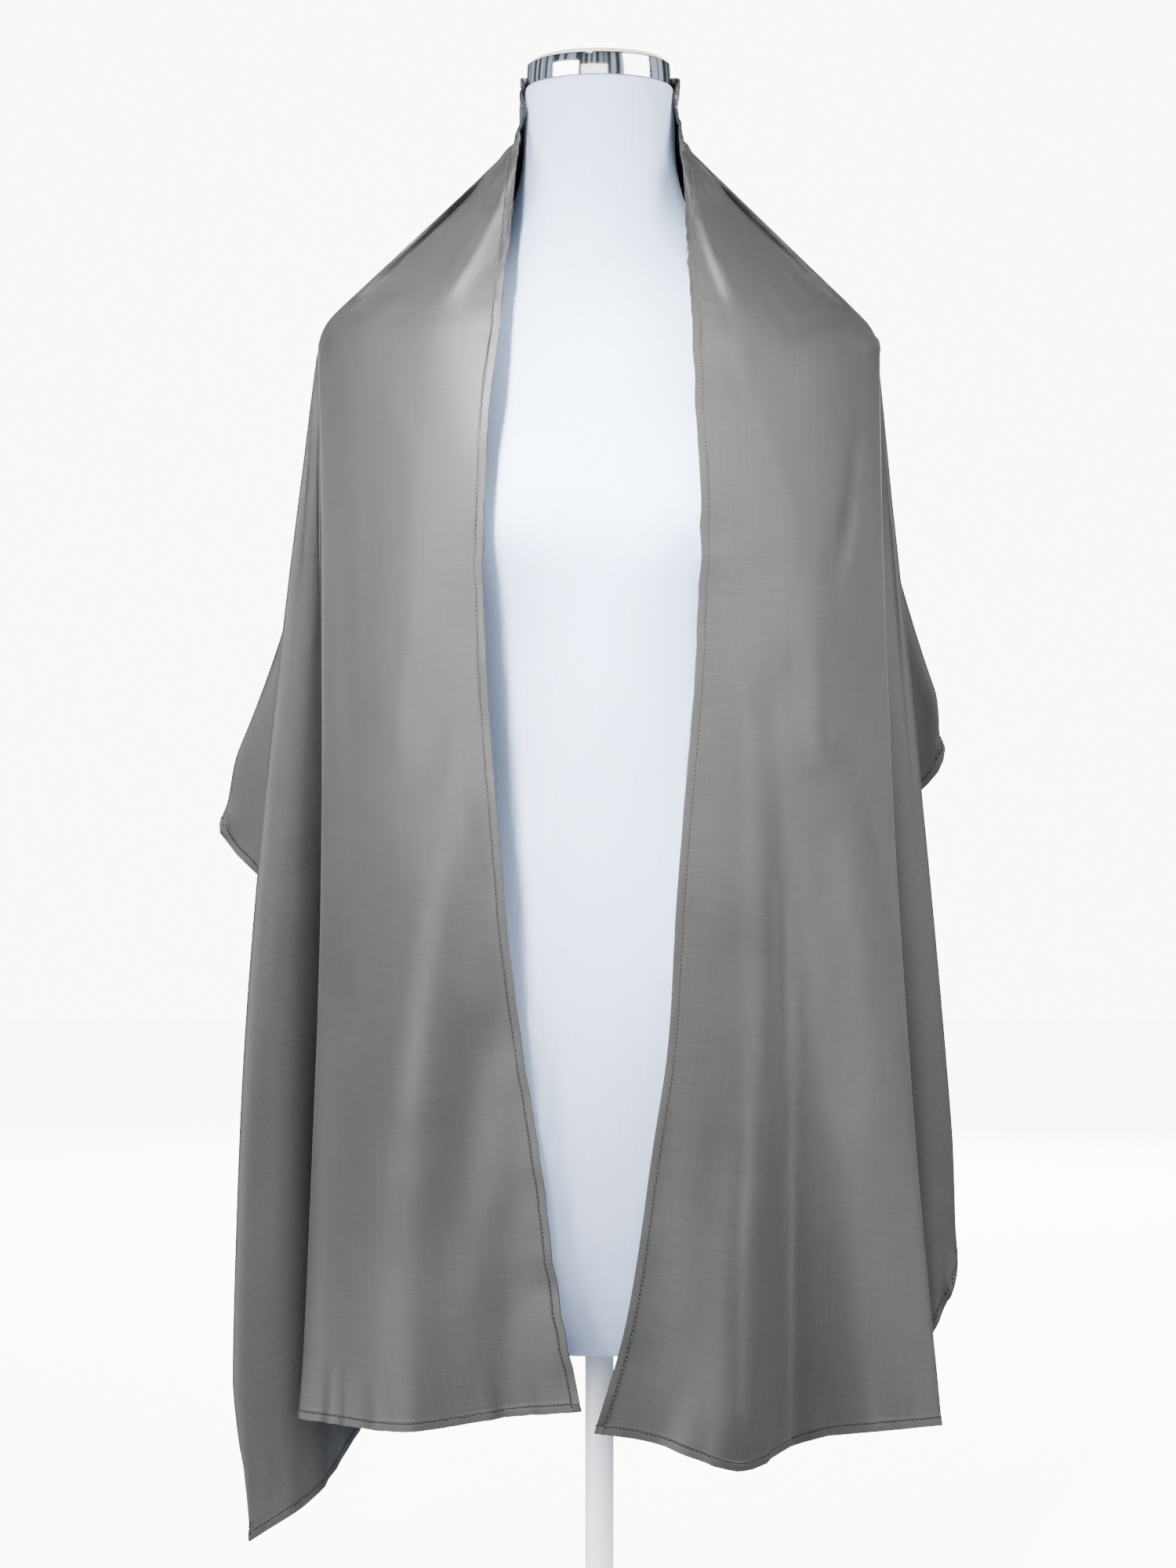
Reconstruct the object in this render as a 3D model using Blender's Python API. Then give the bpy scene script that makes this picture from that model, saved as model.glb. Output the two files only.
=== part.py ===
# Evening stole draped over a limbless dress form that stands on a slim pole and a round base.
#
# The stole is one rectangle of satin, 2.06 m by 0.515 m. It goes round the back of the neck, over
# both shoulder points and down in front. Its outer half hangs from the shoulder points in deep
# pleats, so the ends of the pleats carry the long edge from the front hems round to the back.
# Metres, +Z up, front toward -Y, origin on the floor under the middle of the form.

import math

import bpy
import numpy as np

# Stole
CLOTH_WALL = 0.0012
PANEL_GAP = 0.0003          # between the stretches that the stole is divided into
YOKE_ROUND = 0.07           # part of the yoke that bends round the shoulder point
FALL_ROUND = 0.020          # part of the fall that bends round the shoulder point
NAPE_HUG = 1.00             # how far out of the neck edge the cloth is where it leaves the neck
NAPE_HUG_LOW = 1.000        # the height where it does, at the nape
NAPE_HUG_HIGH = 1.012       # and at the side of the neck
ARCH_OUT = 0.60             # where the chest curve of a front panel turns, across the panel
ARCH_BACK = 0.16            # how far back it has come there
LIFT_OFF_FORM = 0.0012      # from the form's cover to the middle of the cloth
SLOPE_LIFT = 0.8            # share added to it where the cover slopes, from arm height to the neck
SLOPE_LOW = 0.85
SLOPE_HIGH = 1.02
SLOPE_FADE = 0.04
NECK_SHARE = 0.5            # share of a front panel that starts at the opening edge in the yoke
EDGE_CROWD = 2.2            # how much closer its columns lie toward the shoulder ridge
ROUND_LIMIT = 0.47          # most of a pleat's side that a rounded corner may take
CORNER_SHARP_FROM = 0.9     # where the side ridge sharpens toward the lower corner
CORNER_SHARP = 0.85
CREASE_START = 0.25         # how far past its two ends a crease fades out
CREASE_FADE = 0.35
CREASE_HEM = 0.2            # a crease whose lower end is below this height runs out at the hem
CREASE_EDGE = 0.12          # creases end this far short of the shoulder ridge

# Form
NECK_RADIUS = 0.0528
NECK_TOP = 1.0867
NECK_EASE = 0.0013
RING_RADIUS = 0.0512
RING_BORE = 0.0470
RING_HEIGHT = 0.0160
RING_EDGE = 0.0008
CAP_RADIUS = 0.0485
CAP_STEM_RADIUS = 0.0465
CAP_RISE = 0.0030
CAP_CROWN = 0.0009
CAP_EDGE = 0.0020
SEAT_GAP = 0.0003           # left between pieces that rest on each other
FORM_SIDES = 48
FORM_STEP = 0.045           # sections further apart than this get one more between them
FORM_BOTTOM = 0.2155
BUST_X = 0.073
BUST_Z = 0.772
BUST_RISE = 0.022
BUST_SPREAD = 0.050
BUST_FADE = 0.06            # depth over which it fades at the sides

# Stand
BASE_RADIUS = 0.140
BASE_THICK = 0.008
BASE_EDGE = 0.002
POLE_RADIUS = 0.010
TURN_SIDES = 48
POLE_SIDES = 24

# Body sections of the form: height, half width, front, back (all from the middle line).
FORM_SECTIONS = (
    (0.2155, 0.150, 0.098, 0.104),
    (0.2200, 0.153, 0.101, 0.107),
    (0.2800, 0.158, 0.108, 0.116),
    (0.3600, 0.158, 0.108, 0.118),
    (0.4400, 0.148, 0.102, 0.108),
    (0.5200, 0.130, 0.094, 0.092),
    (0.5900, 0.120, 0.090, 0.083),
    (0.6600, 0.126, 0.096, 0.087),
    (0.7200, 0.136, 0.103, 0.093),
    (0.7700, 0.143, 0.107, 0.098),
    (0.8200, 0.149, 0.102, 0.101),
    (0.8600, 0.165, 0.091, 0.100),
    (0.8850, 0.187, 0.083, 0.097),
    (0.8980, 0.1938, 0.078, 0.094),
    (0.9060, 0.1949, 0.075, 0.092),
    (0.9120, 0.1928, 0.073, 0.090),
    (0.9200, 0.1800, 0.070, 0.087),
    (0.9310, 0.1520, 0.066, 0.083),
    (0.9450, 0.1200, 0.062, 0.077),
    (0.9700, 0.082, 0.057, 0.069),
    (1.0000, 0.063, 0.0545, 0.060),
    (1.0300, 0.0545, 0.0530, 0.0545),
    (1.0600, NECK_RADIUS, NECK_RADIUS, NECK_RADIUS),
    (1.0840, NECK_RADIUS, NECK_RADIUS, NECK_RADIUS),
    (NECK_TOP, NECK_RADIUS - NECK_EASE, NECK_RADIUS - NECK_EASE, NECK_RADIUS - NECK_EASE),
)

# Opening edge of each front panel, from the neck down: height, distance from the middle, depth.
LEFT_EDGE = (
    (0.9677, 0.0623, -0.073),
    (0.9350, 0.0655, -0.090),
    (0.9015, 0.0677, -0.104),
    (0.8604, 0.0730, -0.120),
    (0.8069, 0.0757, -0.134),
    (0.7469, 0.0775, -0.138),
    (0.6482, 0.0734, -0.137),
    (0.5887, 0.0683, -0.137),
    (0.4961, 0.0605, -0.137),
    (0.4164, 0.0502, -0.137),
    (0.3440, 0.0388, -0.137),
    (0.2683, 0.0290, -0.136),
    (0.1854, 0.0124, -0.135),
)
RIGHT_EDGE = (
    (0.9600, 0.0600, -0.078),
    (0.9300, 0.0612, -0.092),
    (0.8980, 0.0622, -0.106),
    (0.8607, 0.0632, -0.119),
    (0.8012, 0.0658, -0.134),
    (0.7729, 0.0668, -0.137),
    (0.7195, 0.0646, -0.138),
    (0.6600, 0.0615, -0.138),
    (0.6068, 0.0569, -0.138),
    (0.5220, 0.0501, -0.138),
    (0.4269, 0.0445, -0.138),
    (0.3540, 0.0336, -0.138),
    (0.2893, 0.0248, -0.138),
    (0.2345, 0.0145, -0.138),
    (0.1716, -0.0041, -0.136),
)

# Neck edge round one side of the neck, from the chest to the nape:
# part of the way, angle from the side (forward is negative, degrees), radius, height.
NECK_EDGE = (
    (0.00, -37.0, 0.0722, 1.0207),
    (0.16, -29.0, 0.0634, 1.0440),
    (0.30, -21.0, 0.0580, 1.0680),
    (0.45, -10.0, 0.0546, 1.0900),
    (0.60, 14.0, 0.0540, 1.0985),
    (0.80, 50.0, 0.0540, 1.1000),
    (1.00, 90.0, 0.0540, 1.0985),
)
RIDGE_START = 0.16          # where on it the ridge to the shoulder point begins

# Folds of each side, from the shoulder point down: name, place on the neck edge,
# shoulder (x, y, z), lower end (x, y, z), bow outward, ease, roundness.
# Ease above 1 makes a valley that is shallow at the shoulder and deep at its end.
LEFT_FOLDS = (
    ("front ridge", 0.16, (0.1970, -0.008, 0.9180), (0.2090, -0.040, 0.1634), -0.0095, 1.0, 0.009),
    ("inner turn", 0.20, (0.1967, -0.003, 0.9180), (0.1740, -0.004, 0.1550), 0.0, 1.3, 0.020),
    ("valley", 0.24, (0.1967, 0.002, 0.9177), (0.1640, 0.090, 0.1450), 0.0, 1.4, 0.018),
    ("side panel", 0.28, (0.1970, 0.006, 0.9174), (0.1980, 0.006, 0.1000), 0.004, 1.0, 0.025),
    ("side ridge", 0.32, (0.1975, 0.010, 0.9170), (0.2600, -0.028, 0.0741), 0.0180, 1.0, 0.016),
    ("far valley", 0.38, (0.1970, 0.015, 0.9165), (0.1930, 0.118, 0.3200), 0.0, 1.3, 0.016),
    ("far ridge", 0.43, (0.1960, 0.020, 0.9155), (0.2320, 0.098, 0.4000), 0.0, 1.1, 0.012),
    ("wing valley", 0.49, (0.1945, 0.025, 0.9140), (0.1800, 0.128, 0.4650), 0.0, 1.2, 0.014),
    ("wing", 0.55, (0.1925, 0.031, 0.9120), (0.2850, 0.110, 0.5764), -0.012, 1.0, 0.020),
    ("back wave", 0.66, (0.1600, 0.064, 0.9080), (0.1900, 0.134, 0.5850), 0.0, 1.0, 0.035),
    ("back flat", 0.78, (0.1080, 0.094, 0.9120), (0.1250, 0.142, 0.6000), 0.0, 1.0, 0.035),
    ("blade", 0.89, (0.0550, 0.105, 0.9180), (0.0620, 0.137, 0.6080), 0.0, 1.0, 0.030),
)
RIGHT_FOLDS = (
    ("front ridge", 0.16, (0.1955, -0.008, 0.9150), (0.2355, -0.060, 0.1619), -0.0090, 1.0, 0.009),
    ("inner turn", 0.20, (0.1952, -0.003, 0.9150), (0.2020, 0.020, 0.1420), 0.0, 1.3, 0.022),
    ("valley", 0.24, (0.1952, 0.003, 0.9147), (0.1680, 0.135, 0.1155), 0.0, 1.4, 0.016),
    ("side panel", 0.28, (0.1955, 0.008, 0.9143), (0.2440, 0.122, 0.1840), 0.0, 1.1, 0.022),
    ("side ridge", 0.32, (0.1955, 0.012, 0.9138), (0.2640, 0.080, 0.2478), 0.0060, 1.0, 0.012),
    ("far valley", 0.38, (0.1930, 0.018, 0.9115), (0.2000, 0.158, 0.3700), 0.0, 1.3, 0.016),
    ("far ridge", 0.43, (0.1920, 0.024, 0.9105), (0.2320, 0.142, 0.4550), 0.0, 1.1, 0.012),
    ("wing valley", 0.49, (0.1905, 0.030, 0.9090), (0.1820, 0.164, 0.5300), 0.0, 1.2, 0.014),
    ("wing", 0.55, (0.1885, 0.036, 0.9070), (0.2710, 0.160, 0.6300), -0.011, 1.0, 0.020),
    ("back wave", 0.66, (0.1560, 0.066, 0.9060), (0.1900, 0.158, 0.6550), 0.0, 1.0, 0.035),
    ("back flat", 0.78, (0.1060, 0.094, 0.9120), (0.1250, 0.150, 0.6180), 0.0, 1.0, 0.035),
    ("blade", 0.89, (0.0550, 0.105, 0.9180), (0.0620, 0.139, 0.6140), 0.0, 1.0, 0.030),
)
NAPE = ("nape", 1.00, (0.0, 0.108, 0.9220), (0.0, 0.134, 0.6120), 0.0, 1.0, 0.030)

# The lower corner of the left side panel swings back in toward the middle near its end.
CORNER_TUCK = 0.0150
CORNER_TUCK_FROM = 0.87

# Soft creases of the front panels: side, upper end (x, z), lower end (x, z), push back at each
# end (negative is forward), half width.
CREASES = (
    ("left", (0.0620, 1.0200), (0.1160, 0.9380), -0.0060, -0.0010, 0.012),
    ("left", (0.0900, 1.0150), (0.1500, 0.9330), 0.0080, 0.0100, 0.026),
    ("left", (0.1000, 0.7450), (0.1250, 0.6000), 0.0030, 0.0030, 0.018),
    ("left", (0.0980, 0.5900), (0.1350, 0.3300), -0.0050, -0.0060, 0.030),
    ("left", (0.0700, 0.4400), (0.0950, 0.2300), 0.0060, 0.0110, 0.030),
    ("left", (0.0450, 0.2300), (0.0350, 0.1700), -0.0060, -0.0080, 0.020),
    ("right", (0.0640, 1.0150), (0.1000, 0.9350), -0.0060, -0.0020, 0.012),
    ("right", (0.0880, 1.0100), (0.1500, 0.9250), 0.0080, 0.0090, 0.026),
    ("right", (0.1100, 0.6800), (0.0900, 0.1500), -0.0010, -0.0330, 0.046),
    ("right", (0.1210, 0.6500), (0.1300, 0.1500), 0.0040, 0.0300, 0.030),
)
# Extra drop of each front panel's end hem: most, where across the panel, and how wide.
HEM_SAG = {"left": (0.008, 0.50, 0.35), "right": (0.019, 0.38, 0.20)}

# Rows of the cloth: parts of the way down the yoke, round the shoulder and down the fall.
YOKE_ROWS = (0.0, 0.12, 0.27, 0.43, 0.58, 0.72)
TURN_ROWS = (0.0, 0.25, 0.5, 0.75, 1.0)
FALL_ROWS = (
    0.08, 0.13, 0.19, 0.25, 0.32, 0.39, 0.46, 0.53,
    0.60, 0.67, 0.74, 0.81, 0.87, 0.92, 0.965, 1.0,
)
PANEL_COLUMNS = (0.0, 0.10, 0.20, 0.30, 0.38, 0.46, 0.54, 0.62, 0.72, 0.83, 0.93)
CORNER_STEPS = 3            # points of a rounded corner
BACK_FROM = 9               # folds of each side that come before the back stretch

SATIN_GREY = (0.25, 0.25, 0.245, 1.0)
COVER_WHITE = (0.78, 0.81, 0.90, 1.0)
CHROME = (0.80, 0.80, 0.82, 1.0)
CAP_CREAM = (0.85, 0.83, 0.78, 1.0)
POLE_WHITE = (0.82, 0.82, 0.84, 1.0)


def remove_everything():
    for item in list(bpy.data.objects):
        bpy.data.objects.remove(item, do_unlink=True)


def surface(name, colour, roughness, metallic):
    made = bpy.data.materials.new(name)
    made.use_nodes = True
    shader = made.node_tree.nodes["Principled BSDF"]
    shader.inputs["Base Color"].default_value = colour
    shader.inputs["Roughness"].default_value = roughness
    shader.inputs["Metallic"].default_value = metallic
    return made


def add_mesh(name, points, faces, material, smooth=True):
    mesh = bpy.data.meshes.new(name)
    mesh.from_pydata([tuple(map(float, point)) for point in points], [], faces)
    mesh.update()
    made = bpy.data.objects.new(name, mesh)
    bpy.context.scene.collection.objects.link(made)
    mesh.materials.append(material)
    if smooth:
        mesh.shade_smooth()
        mesh.set_sharp_from_angle(angle=math.radians(40))
    return made


def smooth_step(value):
    value = np.clip(value, 0.0, 1.0)
    return value * value * (3.0 - 2.0 * value)


def table_curve(table, at):
    """Read a table's other columns at a value of its first column, through a smooth curve."""
    rows = np.array(sorted(table))
    at = float(np.clip(at, rows[0, 0], rows[-1, 0]))
    index = int(np.clip(np.searchsorted(rows[:, 0], at) - 1, 0, len(rows) - 2))
    here, there = rows[index], rows[index + 1]
    before = rows[max(index - 1, 0)]
    after = rows[min(index + 2, len(rows) - 1)]
    span = there[0] - here[0]
    part = (at - here[0]) / span
    slope_here = (there[1:] - before[1:]) / (there[0] - before[0]) * span
    slope_there = (after[1:] - here[1:]) / (after[0] - here[0]) * span
    return (
        (2 * part**3 - 3 * part**2 + 1) * here[1:]
        + (part**3 - 2 * part**2 + part) * slope_here
        + (3 * part**2 - 2 * part**3) * there[1:]
        + (part**3 - part**2) * slope_there
    )


def form_reach(angle, height):
    """Distance of the form's cover from the middle line at an angle from +X and a height."""
    half, front, back = table_curve(FORM_SECTIONS, height)
    depth = front if math.sin(angle) < 0.0 else back
    reach = half * depth / math.hypot(depth * math.cos(angle), half * math.sin(angle))
    x, y = reach * math.cos(angle), reach * math.sin(angle)
    if y < 0.0:
        for side in (-1.0, 1.0):
            away = ((x - side * BUST_X) ** 2 + (height - BUST_Z) ** 2) / BUST_SPREAD**2
            reach += BUST_RISE * math.exp(-away) * min(1.0, -y / BUST_FADE)
    return reach


def clear_of_form(point):
    """Move a cloth point straight out from the middle line until it lies on the cover."""
    x, y, z = point
    if not FORM_BOTTOM < z < NECK_TOP:
        return point
    angle = math.atan2(y, x)
    sloped = smooth_step((z - SLOPE_LOW) / SLOPE_FADE) * smooth_step((SLOPE_HIGH - z) / SLOPE_FADE)
    least = form_reach(angle, z) + LIFT_OFF_FORM * (1.0 + SLOPE_LIFT * sloped)
    reach = math.hypot(x, y)
    if reach < least:
        return np.array([least * math.cos(angle), least * math.sin(angle), z])
    return point


def neck_point(place, side):
    angle, radius, height = table_curve(NECK_EDGE, place)
    turn = math.radians(angle)
    return np.array([side * radius * math.cos(turn), radius * math.sin(turn), height])


def edge_point(edge, height, side):
    x, y = table_curve(edge, height)
    return np.array([side * x, y, height])


def crease_push(side_name, x, z):
    push = 0.0
    for name, upper, lower, push_upper, push_lower, width in CREASES:
        if name != side_name:
            continue
        line = np.array(lower) - np.array(upper)
        length = float(np.hypot(*line))
        offset = np.array([x, z]) - np.array(upper)
        part = float(offset @ line) / length**2
        across = abs(float(offset[0] * line[1] - offset[1] * line[0])) / length
        fade = smooth_step((part + CREASE_START) / CREASE_FADE)
        if lower[1] > CREASE_HEM:
            fade *= smooth_step((1.0 + CREASE_START - part) / CREASE_FADE)
        amount = push_upper + (push_lower - push_upper) * min(max(part, 0.0), 1.0)
        push += amount * fade * math.exp(-((across / width) ** 2))
    return push


class Side:
    """One half of the stole, from its opening edge round to the nape."""

    def __init__(self, name, sign, edge, folds):
        self.name = name
        self.sign = sign
        self.edge = edge
        self.folds = folds + (NAPE,)
        self.edge_top = edge[0][0]
        self.edge_turn = edge[2][0]
        self.edge_end = edge[-1][0]

    def yoke(self, fold, part):
        start = neck_point(fold[1], self.sign)
        x, y, z = fold[2]
        end = np.array([self.sign * x, y, z])
        if fold[1] <= RIDGE_START:
            return start + (end - start) * part
        spread = smooth_step((fold[1] - 0.5) / 0.5)
        hug = (start + end) / 2
        hug[:2] = start[:2] * NAPE_HUG
        hug[2] = NAPE_HUG_LOW + (NAPE_HUG_HIGH - NAPE_HUG_LOW) * (1.0 - spread)
        return (1 - part) ** 2 * start + 2 * part * (1 - part) * hug + part**2 * end

    def fall(self, fold, part):
        x, y, z = fold[2]
        end_x, end_y, end_z = fold[3]
        eased = part ** fold[5]
        out = x + (end_x - x) * eased + fold[4] * 4.0 * part * (1.0 - part)
        if self.name == "left" and fold[0] == "side ridge":
            out -= CORNER_TUCK * smooth_step((part - CORNER_TUCK_FROM) / (1.0 - CORNER_TUCK_FROM))
        return np.array([self.sign * out, y + (end_y - y) * eased, z + (end_z - z) * part])

    def panel(self, across, level, part):
        """Point of the front panel: 0 to 1 across it, in the yoke or the fall."""
        if level == "yoke":
            low = self.arch(across, self.turn_edge(), self.yoke(self.folds[0], 1.0))
            share = 1.0 - (1.0 - across) ** EDGE_CROWD
            if share < NECK_SHARE:
                here = edge_point(self.edge, self.edge_top, self.sign)
                there = neck_point(0.0, self.sign)
                top = here + (there - here) * share / NECK_SHARE
            else:
                top = neck_point((share - NECK_SHARE) / (1.0 - NECK_SHARE) * RIDGE_START, self.sign)
            point = top + (low - top) * part
        else:
            height = self.edge_turn + (self.edge_end - self.edge_turn) * part
            edge = edge_point(self.edge, height, self.sign)
            point = self.arch(across, edge, self.fall(self.folds[0], part))
            sag, middle, spread = HEM_SAG[self.name]
            point[2] -= sag * part * math.exp(-(((across - middle) / spread) ** 2))
        push = crease_push(self.name, self.sign * point[0], point[2])
        point[1] += push * smooth_step((1.0 - across) / CREASE_EDGE)
        return point

    def turn_edge(self):
        return edge_point(self.edge, self.edge_turn, self.sign)

    def arch(self, across, edge, ridge):
        turn = edge + (ridge - edge) * ARCH_OUT
        turn[1] = edge[1] + (ridge[1] - edge[1]) * ARCH_BACK
        return (1 - across) ** 2 * edge + 2 * across * (1 - across) * turn + across**2 * ridge

    def section(self, level, part):
        """Corner points of one row with their roundness, from the opening edge to the nape."""
        corners = [(self.panel(across, level, part), 0.0) for across in PANEL_COLUMNS]
        for fold in self.folds:
            point = self.yoke(fold, part) if level == "yoke" else self.fall(fold, part)
            round_by = fold[6]
            if fold[0] == "side ridge" and level == "fall" and part > CORNER_SHARP_FROM:
                round_by *= 1.0 - CORNER_SHARP * (part - CORNER_SHARP_FROM) / (1.0 - CORNER_SHARP_FROM)
            corners.append((point, round_by))
        return corners


def rounded(corners):
    """Points of a row, with each rounded corner replaced by a short curve."""
    points = []
    for index, (corner, round_by) in enumerate(corners):
        if round_by == 0.0 or index in (0, len(corners) - 1):
            points.append(corner)
            continue
        before, after = corners[index - 1][0], corners[index + 1][0]
        cut_in = min(round_by / np.linalg.norm(corner - before), ROUND_LIMIT)
        cut_out = min(round_by / np.linalg.norm(corner - after), ROUND_LIMIT)
        enter = corner + (before - corner) * cut_in
        leave = corner + (after - corner) * cut_out
        for step in range(CORNER_STEPS):
            turn = step / (CORNER_STEPS - 1)
            curve = (1 - turn) ** 2 * enter + 2 * turn * (1 - turn) * corner + turn**2 * leave
            points.append(curve)
    return np.array(points)


LEFT = Side("left", -1.0, LEFT_EDGE, LEFT_FOLDS)
RIGHT = Side("right", 1.0, RIGHT_EDGE, RIGHT_FOLDS)


def cloth_row(level, part):
    left = LEFT.section(level, part)
    right = RIGHT.section(level, part)
    return rounded(left + right[-2::-1])


def cloth_grid():
    rows = [cloth_row("yoke", part) for part in YOKE_ROWS]
    above = cloth_row("yoke", 1.0 - YOKE_ROUND)
    turn = cloth_row("yoke", 1.0)
    below = cloth_row("fall", FALL_ROUND)
    for step in TURN_ROWS:
        rows.append((1 - step) ** 2 * above + 2 * step * (1 - step) * turn + step**2 * below)
    rows += [cloth_row("fall", part) for part in FALL_ROWS]
    grid = np.array(rows)
    for row in grid:
        for index in range(len(row)):
            row[index] = clear_of_form(row[index])
    return grid


def normals_of(grid):
    down = np.gradient(grid, axis=0)
    along = np.gradient(grid, axis=1)
    normal = np.cross(down, along)
    return normal / np.linalg.norm(normal, axis=2, keepdims=True)


def add_cloth_stretch(name, middle, normal, material):
    """A closed wall on both sides of a grid of points."""
    rows, columns = middle.shape[:2]
    outer = middle + normal * CLOTH_WALL / 2
    inner = middle - normal * CLOTH_WALL / 2
    points = np.concatenate([outer.reshape(-1, 3), inner.reshape(-1, 3)])
    under = rows * columns

    def at(row, column):
        return row * columns + column

    faces = []
    for row in range(rows - 1):
        for column in range(columns - 1):
            a, b = at(row, column), at(row, column + 1)
            c, d = at(row + 1, column + 1), at(row + 1, column)
            faces.append((a, d, c))
            faces.append((a, c, b))
            faces.append((a + under, c + under, d + under))
            faces.append((a + under, b + under, c + under))
    rim = [at(0, column) for column in range(columns)]
    rim += [at(row, columns - 1) for row in range(1, rows)]
    rim += [at(rows - 1, column) for column in range(columns - 2, -1, -1)]
    rim += [at(row, 0) for row in range(rows - 2, 0, -1)]
    for here, there in zip(rim, rim[1:] + rim[:1]):
        faces.append((here, there, there + under))
        faces.append((here, there + under, here + under))
    return add_mesh(name, points, faces, material)


def add_stole(material):
    grid = cloth_grid()
    normal = normals_of(grid)
    first_split = len(PANEL_COLUMNS) + CORNER_STEPS * BACK_FROM
    last_split = grid.shape[1] - 1 - first_split
    names = ("stole_left_fall", "stole_back", "stole_right_fall")
    limits = ((0, first_split), (first_split, last_split), (last_split, grid.shape[1] - 1))
    for name, (start, stop) in zip(names, limits):
        part = grid[:, start:stop + 1].copy()
        for column, inward, inner in ((0, start > 0, 1), (-1, stop < grid.shape[1] - 1, -2)):
            if inward:
                step = part[:, inner] - part[:, column]
                step /= np.linalg.norm(step, axis=1, keepdims=True)
                part[:, column] += step * PANEL_GAP / 2
        add_cloth_stretch(name, part, normal[:, start:stop + 1], material)


def add_turned(name, profile, material, sides=TURN_SIDES):
    """Turn a closed or axis-ended outline of (radius, height) pairs about the upright axis."""
    points, faces, rings = [], [], []
    for radius, height in profile:
        if radius == 0.0:
            rings.append([len(points)])
            points.append((0.0, 0.0, height))
            continue
        rings.append(list(range(len(points), len(points) + sides)))
        for step in range(sides):
            turn = 2.0 * math.pi * step / sides
            points.append((radius * math.cos(turn), radius * math.sin(turn), height))
    closed = profile[0][0] > 0.0
    pairs = list(zip(rings, rings[1:])) + ([(rings[-1], rings[0])] if closed else [])
    for lower, upper in pairs:
        for step in range(sides):
            after = (step + 1) % sides
            ring = [lower[step % len(lower)], lower[after % len(lower)]]
            ring += [upper[after % len(upper)], upper[step % len(upper)]]
            faces.append(tuple(dict.fromkeys(ring)))
    return add_mesh(name, points, faces, material)


def add_form(material):
    heights = [row[0] for row in FORM_SECTIONS]
    levels = []
    for low, high in zip(heights, heights[1:]):
        steps = 2 if high - low > FORM_STEP else 1
        levels += [low + (high - low) * step / steps for step in range(steps)]
    levels.append(heights[-1])
    points = []
    for height in levels:
        for step in range(FORM_SIDES):
            angle = 2.0 * math.pi * step / FORM_SIDES
            reach = form_reach(angle, height)
            points.append((reach * math.cos(angle), reach * math.sin(angle), height))
    faces = []
    for level in range(len(levels) - 1):
        for step in range(FORM_SIDES):
            after = (step + 1) % FORM_SIDES
            low, high = level * FORM_SIDES, (level + 1) * FORM_SIDES
            faces.append((low + step, low + after, high + after, high + step))
    top = (len(levels) - 1) * FORM_SIDES
    faces.append(tuple(range(FORM_SIDES - 1, -1, -1)))
    faces.append(tuple(range(top, top + FORM_SIDES)))
    return add_mesh("form_body", points, faces, material)


def add_neck_fittings(chrome, cream):
    low = NECK_TOP + SEAT_GAP
    high = low + RING_HEIGHT
    add_turned("neck_ring", (
        (RING_BORE, low),
        (RING_RADIUS - RING_EDGE, low),
        (RING_RADIUS, low + RING_EDGE),
        (RING_RADIUS, high - RING_EDGE),
        (RING_RADIUS - RING_EDGE, high),
        (RING_BORE, high),
    ), chrome)
    seat = high + SEAT_GAP
    add_turned("neck_cap", (
        (0.0, low),
        (CAP_STEM_RADIUS, low),
        (CAP_STEM_RADIUS, seat),
        (CAP_RADIUS, seat),
        (CAP_RADIUS, seat + CAP_RISE / 2),
        (CAP_RADIUS - CAP_EDGE, seat + CAP_RISE),
        (0.0, seat + CAP_RISE + CAP_CROWN),
    ), cream)


def add_stand(white):
    add_turned("stand_base", (
        (0.0, 0.0),
        (BASE_RADIUS, 0.0),
        (BASE_RADIUS, BASE_THICK - BASE_EDGE),
        (BASE_RADIUS - BASE_EDGE, BASE_THICK),
        (0.0, BASE_THICK),
    ), white)
    add_turned("stand_pole", (
        (0.0, BASE_THICK + SEAT_GAP),
        (POLE_RADIUS, BASE_THICK + SEAT_GAP),
        (POLE_RADIUS, FORM_BOTTOM - SEAT_GAP),
        (0.0, FORM_BOTTOM - SEAT_GAP),
    ), white, sides=POLE_SIDES)


def main():
    remove_everything()
    add_stole(surface("grey satin", SATIN_GREY, 0.38, 0.0))
    add_form(surface("white cover", COVER_WHITE, 0.55, 0.0))
    chrome = surface("chromed steel", CHROME, 0.08, 1.0)
    cream = surface("cream cap", CAP_CREAM, 0.4, 0.0)
    add_neck_fittings(chrome, cream)
    add_stand(surface("white coated steel", POLE_WHITE, 0.35, 0.0))


main()
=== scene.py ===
# Evening stole of grey satin over the shoulders of a limbless dress form, on a pole and a base.
#
# The stole is drawn again here on the same folds as its solids, with a finer grid, its turned
# hems, stitching, puckers and small creases. Metres, +Z up, front toward -Y.
import math

import bmesh
import bpy
import numpy as np
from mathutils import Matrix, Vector, noise
from mathutils.bvhtree import BVHTree
from mathutils.kdtree import KDTree


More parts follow.
